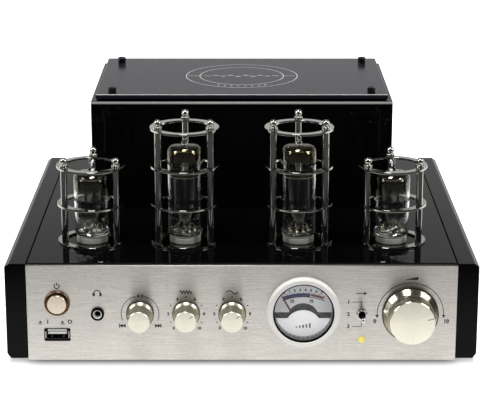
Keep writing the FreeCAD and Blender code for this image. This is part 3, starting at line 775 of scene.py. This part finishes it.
def bulb(name, place, shoulder, dome, tip, film, film_low):
    """A bulb with a round heel, a domed shoulder and the tip where it was sealed."""
    heel = 4.5
    bore = GLASS_RADIUS - 0.9
    rise = tip - dome
    neck = dome + min(rise * 0.27, 2.0) * 0.7
    bead = rise * (0.22 if rise > 6 else 0.26)
    outer = [
        (0, heel), (GLASS_RADIUS, heel, 2.5), (GLASS_RADIUS, shoulder - 3.0),
        (GLASS_RADIUS, dome - 0.6, 5.5), (1.6, dome - 0.1),
        *ball_outline(2.0, neck, -20, 62),
        *ball_outline(bead, tip - bead, -50, 90),
    ]
    inner = [
        (0, dome - 0.6), (bore, dome - 1.5, 5.0), (bore, heel + 1.9, 2.4),
        (6.0, heel + 2.2, 1.0), (3.0, heel + 3.4, 1.0), (0, heel + 3.7),
    ]
    shape = Shape().add(lathe(outer, 64, steps=8)).add(lathe(inner, 64, steps=8), inward=True)
    replaced = ("valve_glass", "valve_tips")
    piece(f"{name}_bulb", shape, [bulb_glass], "valve_glass", place, *replaced, sharp=60)
    reach = GLASS_RADIUS - 0.3
    coat = Shape().add(lathe([(0, dome - 0.35), (reach, dome - 0.9, 5.3), (reach, film_low)], 64, steps=8))
    piece(f"{name}_getter", coat, [film], "valve_glass", place, sharp=60)


def mica_disc(radius, low):
    notch = 0.7
    points = 48
    outline = [
        polar(radius if i % 4 < 2 else radius - notch, 360 / points * (i + 0.5)) for i in range(points)
    ]
    return prism(outline, low, low + 0.5)


def ribbed_plate(width, depth, low, high):
    """One anode: a flattened tube with fins and ribs."""
    half, deep = width / 2, depth / 2
    quarter = [
        (half + 1.0, 0.25), (half, 0.25), (half - 0.6, deep * 0.7),
        (half * 0.4, deep), (half * 0.15, deep - 0.5),
    ]
    near = [(-x, -y) for x, y in quarter] + [(x, -y) for x, y in reversed(quarter)]
    far = [(x, -y) for x, y in reversed(near)]
    return prism(near + far, low, high)


def stem(shape, top):
    """The pins that come up through the glass base, and their wires."""
    foot = PIN_FOOT
    shoulder = foot + 3.0
    fillet = [(0, foot), (1.1, foot), (0.36, foot + 1.0, 0.5), (0.3, shoulder), (0, shoulder + 0.3)]
    for i in range(9):
        x, y = polar(PIN_CIRCLE, 40 * i + 20)
        shape.add(lathe(fillet, 16), at(x, y), 5)
        inward = 0.6 if i % 2 else 0.36
        bend = (x * inward, y * inward, (shoulder + top) / 2)
        shape.add(rod((x, y, shoulder), bend, 0.22), finish=5)
        shape.add(rod(bend, (bend[0], bend[1], top), 0.22), finish=5)


def electrodes(name, place, node, plates, plate_span, micas, golden, getter):
    """The works of a valve. plates are (middle, width, depth); golden is a disc with a golden rim."""
    shape = Shape()
    for middle, width, depth in plates:
        shape.add(ribbed_plate(width, depth, *plate_span), at(middle, 0))
    for height in micas:
        shape.add(mica_disc(9.1, height), finish=3)
        rim = rectangle(9.0, height + 0.1, 9.2, height + 0.5)
        shape.add(lathe(rim, 48, True), finish=4 if height == golden else 1)
    for y in (-3.6, 3.6):
        for x in (-3.6, 3.6):
            shape.add(rod((x, y, micas[0] - 3.0), (x, y, micas[-1] + 2.2), 0.42), finish=1)
    for x in (-1.6, 1.6):
        shape.add(rod((x, 0, micas[-1]), (x, 0, getter), 0.25), finish=1)
    shape.add(lathe(rectangle(1.7, 0, 2.6, 0.7, 0.2), 32, True, 2), at(0, 0, getter), 1)
    stem(shape, micas[0])
    finishes = [anode, wire, bulb_glass, mica, mica_rim, pin_metal]
    piece(f"{name}_works", shape, finishes, "electrode_grey", place, node)


def valve_seat(name, place):
    """The ceramic collar and the barrel below the deck."""
    low, high = node_box("valve_sockets")
    bottom = low.z - deck_top
    top = high.z - deck_top
    outline = [
        (0, bottom), (7.0, bottom, 0.5), (7.0, 0), (9.5, 0, 0.3),
        (9.5, top - 1.6, 0.2), (9.0, top - 1.3, 0.2), (9.0, top - 0.9, 0.2), (9.5, top - 0.6, 0.3),
        (9.5, top, 0.4), (7.8, top, 0.3), (7.6, top - 0.7, 0.2), (0, top - 0.7),
    ]
    shape = Shape().add(lathe(outline, 56))
    piece(f"{name}_seat", shape, [ceramic], "socket_ceramic", place, "valve_sockets")


SHORT_GLASS = {"shoulder": 38.4, "dome": 43.8, "tip": 52.0, "film": film_short, "film_low": 28.0}
SHORT_WORKS = {
    "node": "short_valve_electrodes",
    "plates": [(0.0, 14.4, 10.0)],
    "plate_span": (15.9, 26.3),
    "micas": (15.4, 26.4, 31.5),
    "golden": None,
    "getter": 35.5,
}
TALL_GLASS = {"shoulder": 55.0, "dome": 60.8, "tip": 65.4, "film": film_tall, "film_low": 48.0}
TALL_WORKS = {
    "node": "tall_valve_electrodes",
    "plates": [(-3.9, 5.6, 11.0), (3.9, 5.6, 11.0)],
    "plate_span": (15.9, 41.0),
    "micas": (15.4, 41.2),
    "golden": 41.2,
    "getter": 47.0,
}
valve_y = centre("tall_valve_electrodes").y
tall_x = node_box("guard_rings_3")[0].x + RING_RADIUS
short_x = node_box("guard_rings_4")[0].x + RING_RADIUS
for name, x, glass, works in (
    ("valve_1", -short_x, SHORT_GLASS, SHORT_WORKS),
    ("valve_4", short_x, SHORT_GLASS, SHORT_WORKS),
    ("valve_2", -tall_x, TALL_GLASS, TALL_WORKS),
    ("valve_3", tall_x, TALL_GLASS, TALL_WORKS),
):
    spot = at(x, valve_y, deck_top)
    bulb(name, spot, **glass)
    electrodes(name, spot, **works)
    valve_seat(name, spot)


# Knobs


def front_place(node, y=front_y):
    """In front of a node's middle, on the panel's face or at another depth."""
    middle = centre(node)
    return at(middle.x, y, middle.z, FORWARD)


def turned_knob(name, body, finish, base, grip, pointer, mark):
    """A foot painted dark as shade, a cone that narrows to the grip, and a mark in the face at the pointer's
    angle.
    """
    node = f"{name}_knob"
    length = depth_of(node) - 0.1
    foot = 0.85
    rim = 0.3
    inset = 0.6 if base > 10 else 0.35
    cone = (base - grip - inset) * 1.2
    outline = [
        (0, foot - 0.3), (base - inset, foot - 0.3), (base - inset, foot + 0.2, 0.15),
        (grip + 0.05, foot + 0.2 + cone, cone * 0.25), (grip, length - rim, 0.12), (grip - rim, length),
    ]
    shape = Shape().add(lathe(outline, 96))
    shape.add(lathe([(grip - rim, length), (0, length + 0.02)], 96), finish=3)
    # The foot's dark colour is painted shade, for the gap between knob and panel.
    shape.add(lathe([(0, 0), (base, 0), (base, foot, 0.2), (0, foot)], 96), finish=2)
    inner, outer, width = mark
    strip = rectangle(-width / 2, inner, width / 2, outer)
    shape.add(prism(strip, length - 0.2, length + 0.05), spun(-pointer), 1)
    finishes = [finish, groove, painted_shade_metal, turned_face_lit]
    place = front_place(node, node_box(node)[1].y)
    piece(f"{name}_grip", shape, finishes, "knob_aluminium", place, node, body=body)


small = {"finish": turned_soft_shaded, "base": 8.22, "grip": 6.5}
line_mark = (3.4, 5.9, 0.4)
dot_mark = (0.0, 0.02, 0.02)
turned_knob("volume", "volume_dial", turned, base=16.8, grip=13.3, pointer=78, mark=(9.0, 12.6, 0.45))
turned_knob("treble", "treble_dial", **small, pointer=47, mark=line_mark)
turned_knob("bass", "bass_dial", **small, pointer=47, mark=line_mark)
turned_knob("track", "track_grip", **small, pointer=0, mark=dot_mark)


# Power button, sockets, switch and lamp


def proud_and_tail(node):
    """How far a node comes out of the panel's face, and how far it goes in behind it."""
    low, high = node_box(node)
    return front_y - low.y, high.y - front_y


def power_button():
    ring = [
        (5.88, 0.0), (7.7, 0.0), (7.7, 0.9, 0.3), (7.35, 1.38, 0.15),
        (7.1, 1.3, 0.1), (6.5, 0.55, 0.3), (5.9, 0.3, 0.1),
    ]
    place = front_place("power_ring")
    shape = Shape().add(lathe(ring, 72, True))
    piece("copper_rim", shape, [copper], "copper_ring", place, "power_ring")
    proud, tail = proud_and_tail("power_cap")
    cap = [(0, -tail), (5.8, -tail, 0.2), (5.78, proud - 0.4, 0.15), (5.5, proud - 0.05)]
    # The cap's side is painted darker, as shade.
    shape = Shape().add(lathe(cap, 64))
    shape.add(lathe([(5.5, proud - 0.05), (0, proud)], 64), finish=1)
    cap_finishes = [button_side_shaded, button_face]
    piece("button_cap", shape, cap_finishes, "cream_plastic", place, "power_cap", body="power_button")


def phones_socket():
    """A black nut round a bright sleeve, and the barrel behind the panel."""
    low, high = node_box("phones_jack")
    proud, tail = proud_and_tail("phones_jack")
    panel_back = front_y - panel_high.y
    nut = [(2.7, 0), (3.95, 0), (3.95, proud, 0.35), (2.75, proud, 0.15), (2.7, 0.4)]
    rim = [
        (1.85, -3.0), (2.72, -3.0), (2.72, proud - 0.25, 0.15),
        (2.5, proud - 0.2, 0.1), (1.85, proud - 1.4),
    ]
    radius = min(high.x - low.x, high.z - low.z) / 2
    barrel = [
        (0, -tail), (radius, -tail, 0.3), (radius, panel_back, 0.2), (2.9, panel_back),
        (2.9, -1.0), (1.85, -1.2), (1.85, -9.0), (0, -9.0),
    ]
    shape = Shape().add(lathe(nut, 56, True, 3)).add(lathe(rim, 56, True, 3), finish=1)
    shape.add(lathe(barrel, 40))
    place = front_place("phones_jack")
    piece("phones_rim", shape, [jet, bezel_metal], "black_plastic", place, "phones_jack")


def sleeve_between(outer, inner, back, front):
    edges = ((outer, back), (outer, front), (inner, front), (inner, back))
    return skin([[(*point, level) for point in edge] for edge, level in edges], True)


def usb_socket():
    """A black rim, a bright liner and the light tongue at the top of the mouth."""
    mouth = oblong(13.7, 6.0, 0.9)
    shape = Shape()
    shape.add(sleeve_between(oblong(15.6, 7.9, 1.6), mouth, 0.0, 0.35))
    shape.add(sleeve_between(mouth, oblong(12.8, 5.4, 0.5), -11.5, -0.3))
    for side in (-1, 1):
        shape.add(rounded_box(0.6, 4.2, 1.0, 0.2), at(side * 6.9, 0, -0.6), 1)
        shape.add(rounded_box(1.0, 0.5, 7.0, 0.2), at(side * 3.4, -1.9, -9.0), 1)
    tongue = 11.2
    shape.add(rounded_box(tongue, 0.9, 1.0, 0.2), at(0, 3.3, -0.6), 1)
    shape.add(rounded_box(tongue, 0.9, 11.0, 0.2), at(0, 2.55, -11.0), 2)
    shape.add(rounded_box(tongue, 1.2, 9.8, 0.2), at(0, 0.9, -10.2), 2)
    piece("usb_rim", shape, [jet, liner, white_plastic], "black_plastic", front_place("usb_port"))
    dress("usb_port", plastic)


def source_switch():
    """A six-sided nut round a black mouth, and the lever with its bright tip."""
    thick = 1.7
    corner = 3.38

    def across(angle, distance):
        return 1.0 if distance < corner - 0.3 else hexagon(angle)

    nut = [(2.75, 0), (corner, 0), (corner, thick, 0.3), (2.75, thick)]
    lip = [
        (2.05, thick - 1.2), (2.8, thick - 1.2), (2.8, thick + 0.35, 0.15),
        (2.3, thick + 0.35, 0.15), (2.05, thick),
    ]
    mouth = [(0, 0.4), (2.2, 0.4), (2.2, thick), (1.2, thick + 0.1), (0, thick + 0.1)]
    shape = Shape().add(lathe(nut, 60, True, 2, across)).add(lathe(lip, 48, True, 3))
    shape.add(lathe(mouth, 40), finish=1)
    place = front_place("toggle_bushing")
    finishes = [shaft_steel, jet]
    piece("switch_bushing", shape, finishes, "shaft_steel", place, "toggle_bushing")
    reach, tail = proud_and_tail("toggle_lever")
    tip = 1.5
    neck = reach - 2.6
    lever = [(0, -tail), (0.9, -tail), (0.95, 2.0), (1.2, neck), (0, neck)]
    ball = [(0, neck - 0.3), *ball_outline(tip, reach - tip, -55, 90)]
    shape = Shape().add(lathe(lever, 32), finish=1).add(lathe(ball, 32))
    piece("switch_lever", shape, finishes, "shaft_steel", place, "toggle_lever", body="source_lever")


def lamp():
    proud, tail = proud_and_tail("source_lamp")
    outline = [(0, -tail), (2.0, -tail, 0.1), (2.0, 0.5, 0.2), (1.7, proud - 0.1, 0.8), (0, proud)]
    shape = Shape().add(lathe(outline, 40, steps=6))
    piece("lamp_lens", shape, [amber], "amber_lens", front_place("source_lamp"), "source_lamp")


power_button()
phones_socket()
usb_socket()
source_switch()
lamp()


# Level meter

METER_RADIUS = 17.1
PLATE_RADIUS = METER_RADIUS - 0.1
SCALE_RADIUS = 33.0
SCALE_MIDDLE = 8.6


def meter_frame():
    """The bezel, the throat behind its glass, and a black ring round the glass, painted shade of the bezel's
    bore.
    """
    proud, _ = proud_and_tail("meter_bezel")
    place = front_place("meter_bezel")
    bezel = [
        (18.22, 0), (21.75, 0), (21.75, proud - 2.2, 0.4), (21.1, proud - 1.5, 0.1),
        (21.0, proud - 0.5, 0.4), (20.3, proud - 0.05, 0.3), (18.6, proud, 0.2), (18.22, proud - 0.4, 0.1),
    ]
    shape = Shape().add(lathe(bezel, 128, True, 5))
    piece("bezel_ring", shape, [bezel_metal], "bezel_aluminium", place, "meter_bezel")
    dial, _ = proud_and_tail("meter_dial")
    pane, pane_tail = proud_and_tail("meter_glass")
    back = -pane_tail
    throat = [
        (18.2, back - 0.1), (17.9, back - 0.1, 0.1), (17.75, back - 3.4, 0.2),
        (METER_RADIUS + 0.15, back - 3.6, 0.2), (METER_RADIUS + 0.05, dial + 0.05), (18.2, dial + 0.05),
    ]
    # A black ring at the glass's edge as painted shade, where the bezel's bore shades the dial.
    shade_ring = [(17.35, pane), (18.2, pane), (18.2, pane + 0.6), (17.45, pane + 0.3)]
    shape = Shape().add(lathe(throat, 96, True, 3)).add(lathe(shade_ring, 96, True), finish=1)
    piece("meter_throat", shape, [throat_grey, jet], "black_plastic", place)


def scale_point(angle, radius):
    x, y = clock(radius, angle)
    return x, SCALE_MIDDLE - SCALE_RADIUS + y


def arch(half, base, radius, middle):
    """A plate's upper edge, from left to right: level, then over an arch, then level."""
    reach = sqrt(radius**2 - (base - middle) ** 2)
    angle = degrees(atan2(reach, base - middle))
    over = [clock(radius, turn) for turn in evenly(-angle, angle, 24)]
    return [(-half, base), *((x, middle + y) for x, y in over), (half, base)]


def scale_print():
    """A blue and a red band, ticks, plain numbers, and the grey band with its arch."""
    shape = Shape()
    drop = at(0, SCALE_MIDDLE - SCALE_RADIUS)
    shape.add(flat_arc(SCALE_RADIUS, -20.5, 7.0, 2.0), drop, 1)
    shape.add(flat_arc(SCALE_RADIUS + 0.1, 7.6, 21.5, 1.3), drop, 2)
    shape.add(flat_arc(SCALE_RADIUS - 1.2, -23.5, 23.5, 0.42), drop)
    for i, angle in enumerate(evenly(-21.5, 21.5, 24)):
        length = 0.75 if i % 3 else 1.2
        ends = [scale_point(angle, SCALE_RADIUS + 0.6), scale_point(angle, SCALE_RADIUS + 0.6 + length)]
        shape.add(flat_line(ends, 0.45), finish=1 if angle < 7.5 else 2)
    for i, angle in enumerate(evenly(-18.5, 17.5, 7)):
        x, y = scale_point(angle, SCALE_RADIUS + 3.0)
        shape.add(flat_number(str(i), 1.7), at(x, y) @ spun(-angle))
    for text, x in (("25", -6.6), ("75", 4.8)):
        shape.add(flat_number(text, 1.8), at(x, 4.6))
    upper = arch(PLATE_RADIUS, -2.3, 9.5, -6.1)
    lower = arch(PLATE_RADIUS, -7.2, 9.5, -11.0)
    shape.add(flat_shape(upper + lower[::-1]), finish=3)
    place = front_place("meter_bezel", node_box("meter_dial")[0].y - 0.04)
    piece("scale_print", shape, [ink, blue_ink, red_ink, grey_paper], "dial_paper", place)


def lower_plate():
    """The white plate in front of the needle's pivot, with five plain bars."""
    thick = depth_of("meter_mask")
    upper = arch(PLATE_RADIUS, -5.7, 11.0, -11.6)
    level = upper[-1][1]
    start = degrees(atan2(level, sqrt(PLATE_RADIUS**2 - level**2)))
    around = [polar(PLATE_RADIUS, angle) for angle in evenly(start, -180 - start, 48)]
    shape = Shape().add(prism(upper[1:-1] + around, 0.0, thick))
    foot = -11.6
    for x, height in ((-4.0, 0.8), (-2.0, 1.3), (0.0, 1.8), (2.0, 2.3), (4.0, 2.8)):
        bar = rectangle(x - 0.45, foot, x + 0.45, foot + height)
        shape.add(flat_shape(bar), at(0, 0, thick + MARK_LIFT), 1)
    place = front_place("meter_bezel", node_box("meter_mask")[1].y)
    piece("dial_mask", shape, [glowing_white_paper, ink], "dial_paper", place, "meter_mask")


def needle():
    """A thin pointer that swings on its pivot behind the plate."""
    thick = depth_of("meter_needle")
    pivot = -15.0
    reach = 25.6
    rest_turn = 29
    blade = prism([(-0.7, -1.0), (0.7, -1.0), (0.42, reach), (-0.42, reach)], 0.02, thick - 0.02)
    hub = lathe([(0, 0), (1.6, 0, 0.05), (1.6, thick, 0.08), (0, thick)], 32)
    shape = Shape().add(blade, spun(rest_turn)).add(hub)
    place = at(0, 0, pivot) @ front_place("meter_bezel", node_box("meter_needle")[1].y)
    piece("needle_blade", shape, [needle_paint], "needle_paint", place, "meter_needle", body="meter_pointer")


dress("meter_glass", meter_pane)
dress("meter_case", plastic)
dress("meter_dial", paper)
meter_frame()
scale_print()
lower_plate()
needle()


# Marks on the front: plain numbers and signs


def triangle(size, turn):
    """An arrow head, turned clockwise from straight up."""
    return flat_shape([polar(size, corner - turn) for corner in (90, 210, 330)])


def wave_sign(periods, width, height):
    points = [(width * (t - 0.5), height / 2 * sin(2 * pi * periods * t)) for t in evenly(0, 1, 40)]
    return flat_line(points, 0.6)


def front_legends():
    """Everything printed on the panel, each mark at an x and a distance below the panel's top."""
    shape = Shape()

    def mark(part, x, drop):
        shape.add(part, at(x, panel_top - drop, MARK_LIFT))

    def line(x_1, y_1, x_2, y_2, width, x, drop):
        mark(flat_line([(x_1, y_1), (x_2, y_2)], width), x, drop)

    power_x = centre("power_cap").x
    mark(flat_arc(1.5, 40, 320, 0.6, 28), power_x, 13.6)
    line(0, 0.3, 0, 2.2, 0.6, power_x, 13.6)
    for x, sign in ((-117.2, "I"), (-104.0, "O")):
        mark(triangle(1.15, 0), x - 2.4, 36.2)
        line(-1.2, 0, 1.2, 0, 0.4, x - 2.4, 37.4)
        mark(flat_number(sign, 2.4), x + 2.0, 36.0)
    phones_x = centre("phones_jack").x
    mark(flat_arc(2.0, -90, 90, 0.6, 20), phones_x, 18.3)
    for side in (-1, 1):
        mark(flat_shape(rectangle(-0.7, -1.0, 0.7, 0.9)), phones_x + side * 2.0, 18.9)

    track = centre("track_knob")
    track_arc = 11.2
    drop = panel_top - track.z
    mark(flat_arc(track_arc, -112, -14, 0.4), track.x, drop)
    mark(flat_arc(track_arc, 14, 112, 0.4), track.x, drop)
    for side in (-1, 1):
        x = track.x + side * 10.4
        for step in (-1.0, 0.7):
            mark(triangle(1.4, side * 90), x + side * step, drop + 7.4)
        line(0, -1.2, 0, 1.2, 0.6, x + side * 1.9, drop + 7.4)
    mark(triangle(1.3, 90), track.x - 0.9, drop - track_arc)
    for step in (0.9, 1.8):
        line(0, -1.2, 0, 1.2, 0.5, track.x + step, drop - track_arc)

    numbers = (
        ("4", -5.2, 9.2), ("6", 5.2, 9.2), ("2", -10.6, 0.0),
        ("8", 10.6, 0.0), ("0", -7.4, -9.0), ("10", 7.6, -9.0),
    )
    for knob, periods in (("treble_knob", 4), ("bass_knob", 1)):
        knob_x = centre(knob).x
        mark(wave_sign(periods, 7.0, 2.0), knob_x, 17.4)
        for x, up in ((0.0, 10.6), (-9.1, 5.3), (-9.1, -5.3), (9.1, 5.3), (9.1, -5.3)):
            mark(flat_dot(0.45), knob_x + x, drop - up)
        for number, x, up in numbers:
            mark(flat_number(number, 1.8), knob_x + x, drop - up)

    volume = centre("volume_knob")
    volume_arc = 19.7
    drop = panel_top - volume.z
    mark(flat_arc(volume_arc, -92, 92, 0.45, 72), volume.x, drop)
    for side in (-1, 1):
        mark(triangle(1.3, 180), volume.x + side * volume_arc, drop + 1.0)
    mark(flat_number("0", 2.4), volume.x - 21.0, drop + 4.4)
    mark(flat_number("10", 2.4), volume.x + 21.4, drop + 4.4)
    mark(flat_shape([(-4.2, -0.9), (4.2, -0.9), (4.2, 1.1)]), volume.x, 8.9)

    switch_x = centre("toggle_bushing").x
    levels = (23.5, 31.2, 38.9)
    for number, level in enumerate(levels, 1):
        mark(flat_number(str(number), 2.2), switch_x - 8.0, level)
    for level, start, end in ((levels[0], 0.15, -3.4), (levels[-1], -0.15, 3.0)):
        line(-5.8, 0, -0.2, 0, 0.35, switch_x, level)
        line(-0.2, start, -0.2, end, 0.35, switch_x, level)
    line(-3.6, 0, 1.2, 0, 0.45, switch_x, 18.2)
    mark(triangle(1.3, 90), switch_x + 1.6, 18.2)
    piece("front_legends", shape, [ink], "black_plastic", at(0, front_y, 0, FORWARD))


front_legends()


# Rear

PHONO_RADIUS = 4.15
POST_RADIUS = 6.0


def back_place(node):
    """Behind a node's middle, where the node begins."""
    middle = centre(node)
    return at(middle.x, node_box(node)[0].y, middle.z, BACKWARD)


def phono_sockets():
    start = node_box("rca_jacks")[0].y
    length = depth_of("rca_jacks")
    outline = [
        (1.65, length - 8.0), (1.65, length, 0.2), (3.3, length, 0.2), (3.3, length - 0.8, 0.1),
        (PHONO_RADIUS, length - 1.0, 0.2), (PHONO_RADIUS, 1.2, 0.2), (PHONO_RADIUS, 0), (0, 0),
    ]
    ring = [(4.05, 0.0), (6.4, 0.0), (6.4, 0.7, 0.2), (6.0, 1.1, 0.2), (4.05, 1.1)]
    core = rectangle(1.66, length - 1.2, 3.28, length - 0.3)
    shape = Shape()
    for i, (x, z) in enumerate(inner_corners("rca_jacks", PHONO_RADIUS)):
        place = at(x, start, z, BACKWARD)
        shape.add(lathe(outline, 40), place)
        shape.add(lathe(ring, 40, True, 3), place, 1 if i % 2 else 2)
        shape.add(lathe(core, 40, True), place, 2)
    piece("phono_sockets", shape, [gold, red_plastic, white_plastic], "terminal_gold", UPRIGHT, "rca_jacks")


def post_bolts():
    low, high = node_box("post_studs")
    length = high.y - low.y
    outline = [
        (0, 0), (POST_RADIUS, 0), (POST_RADIUS, 1.6, 0.2), (4.6, 2.2, 0.3),
        (4.6, 2.7, 0.2), (2.45, 2.8), (2.45, length, 0.4), (0, length),
    ]
    shape = Shape()
    for x, z in inner_corners("post_studs", POST_RADIUS):
        shape.add(lathe(outline, 40), at(x, low.y, z, BACKWARD))
    piece("post_bolts", shape, [gold], "terminal_gold", UPRIGHT, "post_studs")


def post_grip(number, colour):
    node = f"post_cap_{number}"
    length = depth_of(node)

    def knurl(angle, distance):
        return 1 - 0.05 * (cos(angle * 18) > 0) if distance > 5.5 else 1.0

    cap = [
        (2.75, 0), (5.2, 0, 0.2), (POST_RADIUS, 0.8, 0.2), (POST_RADIUS, length - 2.6, 0.3),
        (5.3, length - 2.0, 0.3), (4.8, length, 0.5), (2.75, length, 0.2),
    ]
    band = [(4.95, length - 1.6), (5.45, length - 1.7), (5.45, length - 1.2), (4.95, length - 1.1)]
    shape = Shape().add(lathe(cap, 144, True, across=knurl)).add(lathe(band, 64, True), finish=1)
    place = back_place(node)
    body = f"post_nut_{number}"
    piece(f"post_grip_{number}", shape, [colour, gold], "black_plastic", place, node, body=body)


def fuse_block():
    """The fuse drawer, with two nail grips and a little room in its slot."""
    low, high = node_box("fuse_drawer")
    slack = 0.1
    wide = high.x - low.x - 2 * slack
    tall = high.z - low.z - 2 * slack
    length = high.y - low.y - slack
    shape = Shape().add(rounded_box(wide, tall, length, 0.5))
    for lift in (-1.9, 1.9):
        shape.add(rounded_box(wide * 0.6, 0.8, length + slack, 0.2), at(0, lift))
    place = back_place("fuse_drawer")
    piece("fuse_block", shape, [plastic], "black_plastic", place, "fuse_drawer", body="fuse_tray")


def rear_legends():
    shape = Shape()
    for i, (x, z) in enumerate(inner_corners("rca_jacks", PHONO_RADIUS)):
        side = -1 if i < 2 else 1
        shape.add(flat_number(str(i % 2 + 1), 3.0), at(-(x + side * 10.5), z))
    for i, (x, z) in enumerate(inner_corners("post_studs", POST_RADIUS)):
        side = -1 if i < 2 else 1
        spot = at(-(x + side * 8.4), z)
        shape.add(flat_line([(-1.1, 0), (1.1, 0)], 0.5), spot)
        if i % 2:
            shape.add(flat_line([(0, -1.1), (0, 1.1)], 0.5), spot)
    plate_y = node_box("terminal_plates")[1].y
    place = at(0, plate_y + MARK_LIFT, 0, spun(180) @ FORWARD)
    piece("rear_legends", shape, [grey_ink], "knob_aluminium", place)


dress("terminal_plates", plastic, 0.3)
dress("mains_inlet", plastic)
phono_sockets()
post_bolts()
for number, colour in ((1, plastic), (2, red_plastic), (3, plastic), (4, red_plastic)):
    post_grip(number, colour)
fuse_block()
rear_legends()


# Floor, light and camera, in metres


def ray(tree, kind):
    return source(tree, "LightPath", f"Is {kind} Ray")


def seen_directly(tree):
    """One where the camera, a reflection or a view through glass looks."""
    either = calc("MAXIMUM", ray(tree, "Camera"), ray(tree, "Glossy"))
    return calc("MAXIMUM", either, ray(tree, "Transmission"))


def seen_by_camera(tree, level):
    """The level in reflections, and one where the camera looks."""
    return remap(ray(tree, "Camera"), low=level)


def make_floor():
    """White, with a narrow painted shadow under the object. In reflections it is a painted pool of light
    near the front, grey away from it.
    """
    half = 0.14
    shadow_from = 0.1035
    shadow_width = 0.0155
    shadow_level = 0.1
    painted_pool_in_reflections = 0.26
    bpy.ops.mesh.primitive_plane_add(size=40.0)
    floor = bpy.context.object
    floor.name = "floor"
    material, tree = new_material("pale_floor", Roughness=0.9, Specular_IOR_Level=0.0)
    x, y, _ = parts(own_place(tree))
    beside = calc("SUBTRACT", calc("ABSOLUTE", x), half, use_clamp=True)
    ahead = calc("SUBTRACT", -half, y, use_clamp=True)
    away = vector("LENGTH", flat(beside, ahead))
    # front, far and back shape a painted pool of light, bright near the object's front and behind it, dim
    # farther out.
    front = remap(away, 0.03, 0.24, 1.0, 0.01, "SMOOTHSTEP")
    far = remap(away, 0.2, 0.32, high=0.06)
    back = remap(y, -0.09, 0.09, kind="SMOOTHSTEP")
    near = calc("MAXIMUM", calc("MAXIMUM", front, far), back)
    level = seen_by_camera(tree, near)
    # A painted shadow: the glow the camera sees drops under the object's footprint.
    beyond = calc("SUBTRACT", calc("ABSOLUTE", y), shadow_from, use_clamp=True)
    outside = vector("LENGTH", flat(calc("MULTIPLY", beside, 4.0), beyond))
    white = remap(outside, 0.0, shadow_width, shadow_level, kind="SMOOTHSTEP")
    feed(material, Base_Color=blend(level, NO_COLOUR, (0.9, 0.9, 0.9, 1.0)))
    glossy = calc("MULTIPLY", near, painted_pool_in_reflections)
    strength = between(ray(tree, "Camera"), glossy, white)
    glow = add("Emission", {"Color": (1, 1, 1, 1), "Strength": strength}).outputs[0]
    plain = tree.nodes["Principled BSDF"].outputs[0]
    lit = add("AddShader", {0: plain, 1: glow}).outputs[0]
    mixed = add("MixShader", {0: seen_directly(tree), 1: plain, 2: lit})
    tree.links.new(mixed.outputs[0], tree.nodes["Material Output"].inputs["Surface"])
    floor.data.materials.append(material)


def make_world():
    """White to the camera. Reflections show a pale backdrop behind and a dim room in front and above."""
    dim = 0.05
    pale = 0.95
    fill = 0.45
    world = bpy.data.worlds.new("studio")
    bpy.context.scene.world = world
    world.use_nodes = True
    tree = world.node_tree
    sky = tree.nodes["Background"]
    sky.inputs["Color"].default_value = (1, 1, 1, 1)
    _, y, z = parts(source(tree, "TexCoord", "Generated"))
    behind = remap(y, 0.1, 0.55, kind="SMOOTHSTEP")
    low = remap(z, 0.0, 0.55, 1.0, 0.05)
    backdrop = remap(calc("MULTIPLY", behind, low), low=dim, high=pale)
    strength = between(seen_directly(tree), fill, seen_by_camera(tree, backdrop))
    tree.links.new(strength, sky.inputs["Strength"])


def softbox(name, place, size, power):
    aim = (0.0, -0.13, 0.05)
    light = bpy.data.lights.new(name, "AREA")
    light.shape = "RECTANGLE"
    light.size, light.size_y = size
    light.energy = power
    made = new_object(name, light)
    made.location = place
    made.rotation_euler = (Vector(place) - Vector(aim)).to_track_quat("Z", "Y").to_euler()


def make_camera():
    camera = bpy.data.cameras.new("camera")
    camera.lens = 132.66
    camera.sensor_width = 36.0
    camera.shift_x = -0.00375
    camera.clip_start = 0.05
    made = new_object("camera", camera)
    made.location = (0.0, -1.11535, 0.389)
    made.rotation_euler = (radians(90 - 16.22), 0, 0)
    bpy.context.scene.camera = made


make_floor()
make_world()
softbox("top_light", (-0.05, -0.24, 0.9), (0.2, 0.4), 3.9)
softbox("left_light", (-0.86, -0.3, 0.66), (0.3, 0.45), 5.2)
softbox("right_light", (0.78, -0.3, 0.64), (0.3, 0.45), 4.7)
make_camera()
bpy.context.scene.view_settings.view_transform = "Standard"
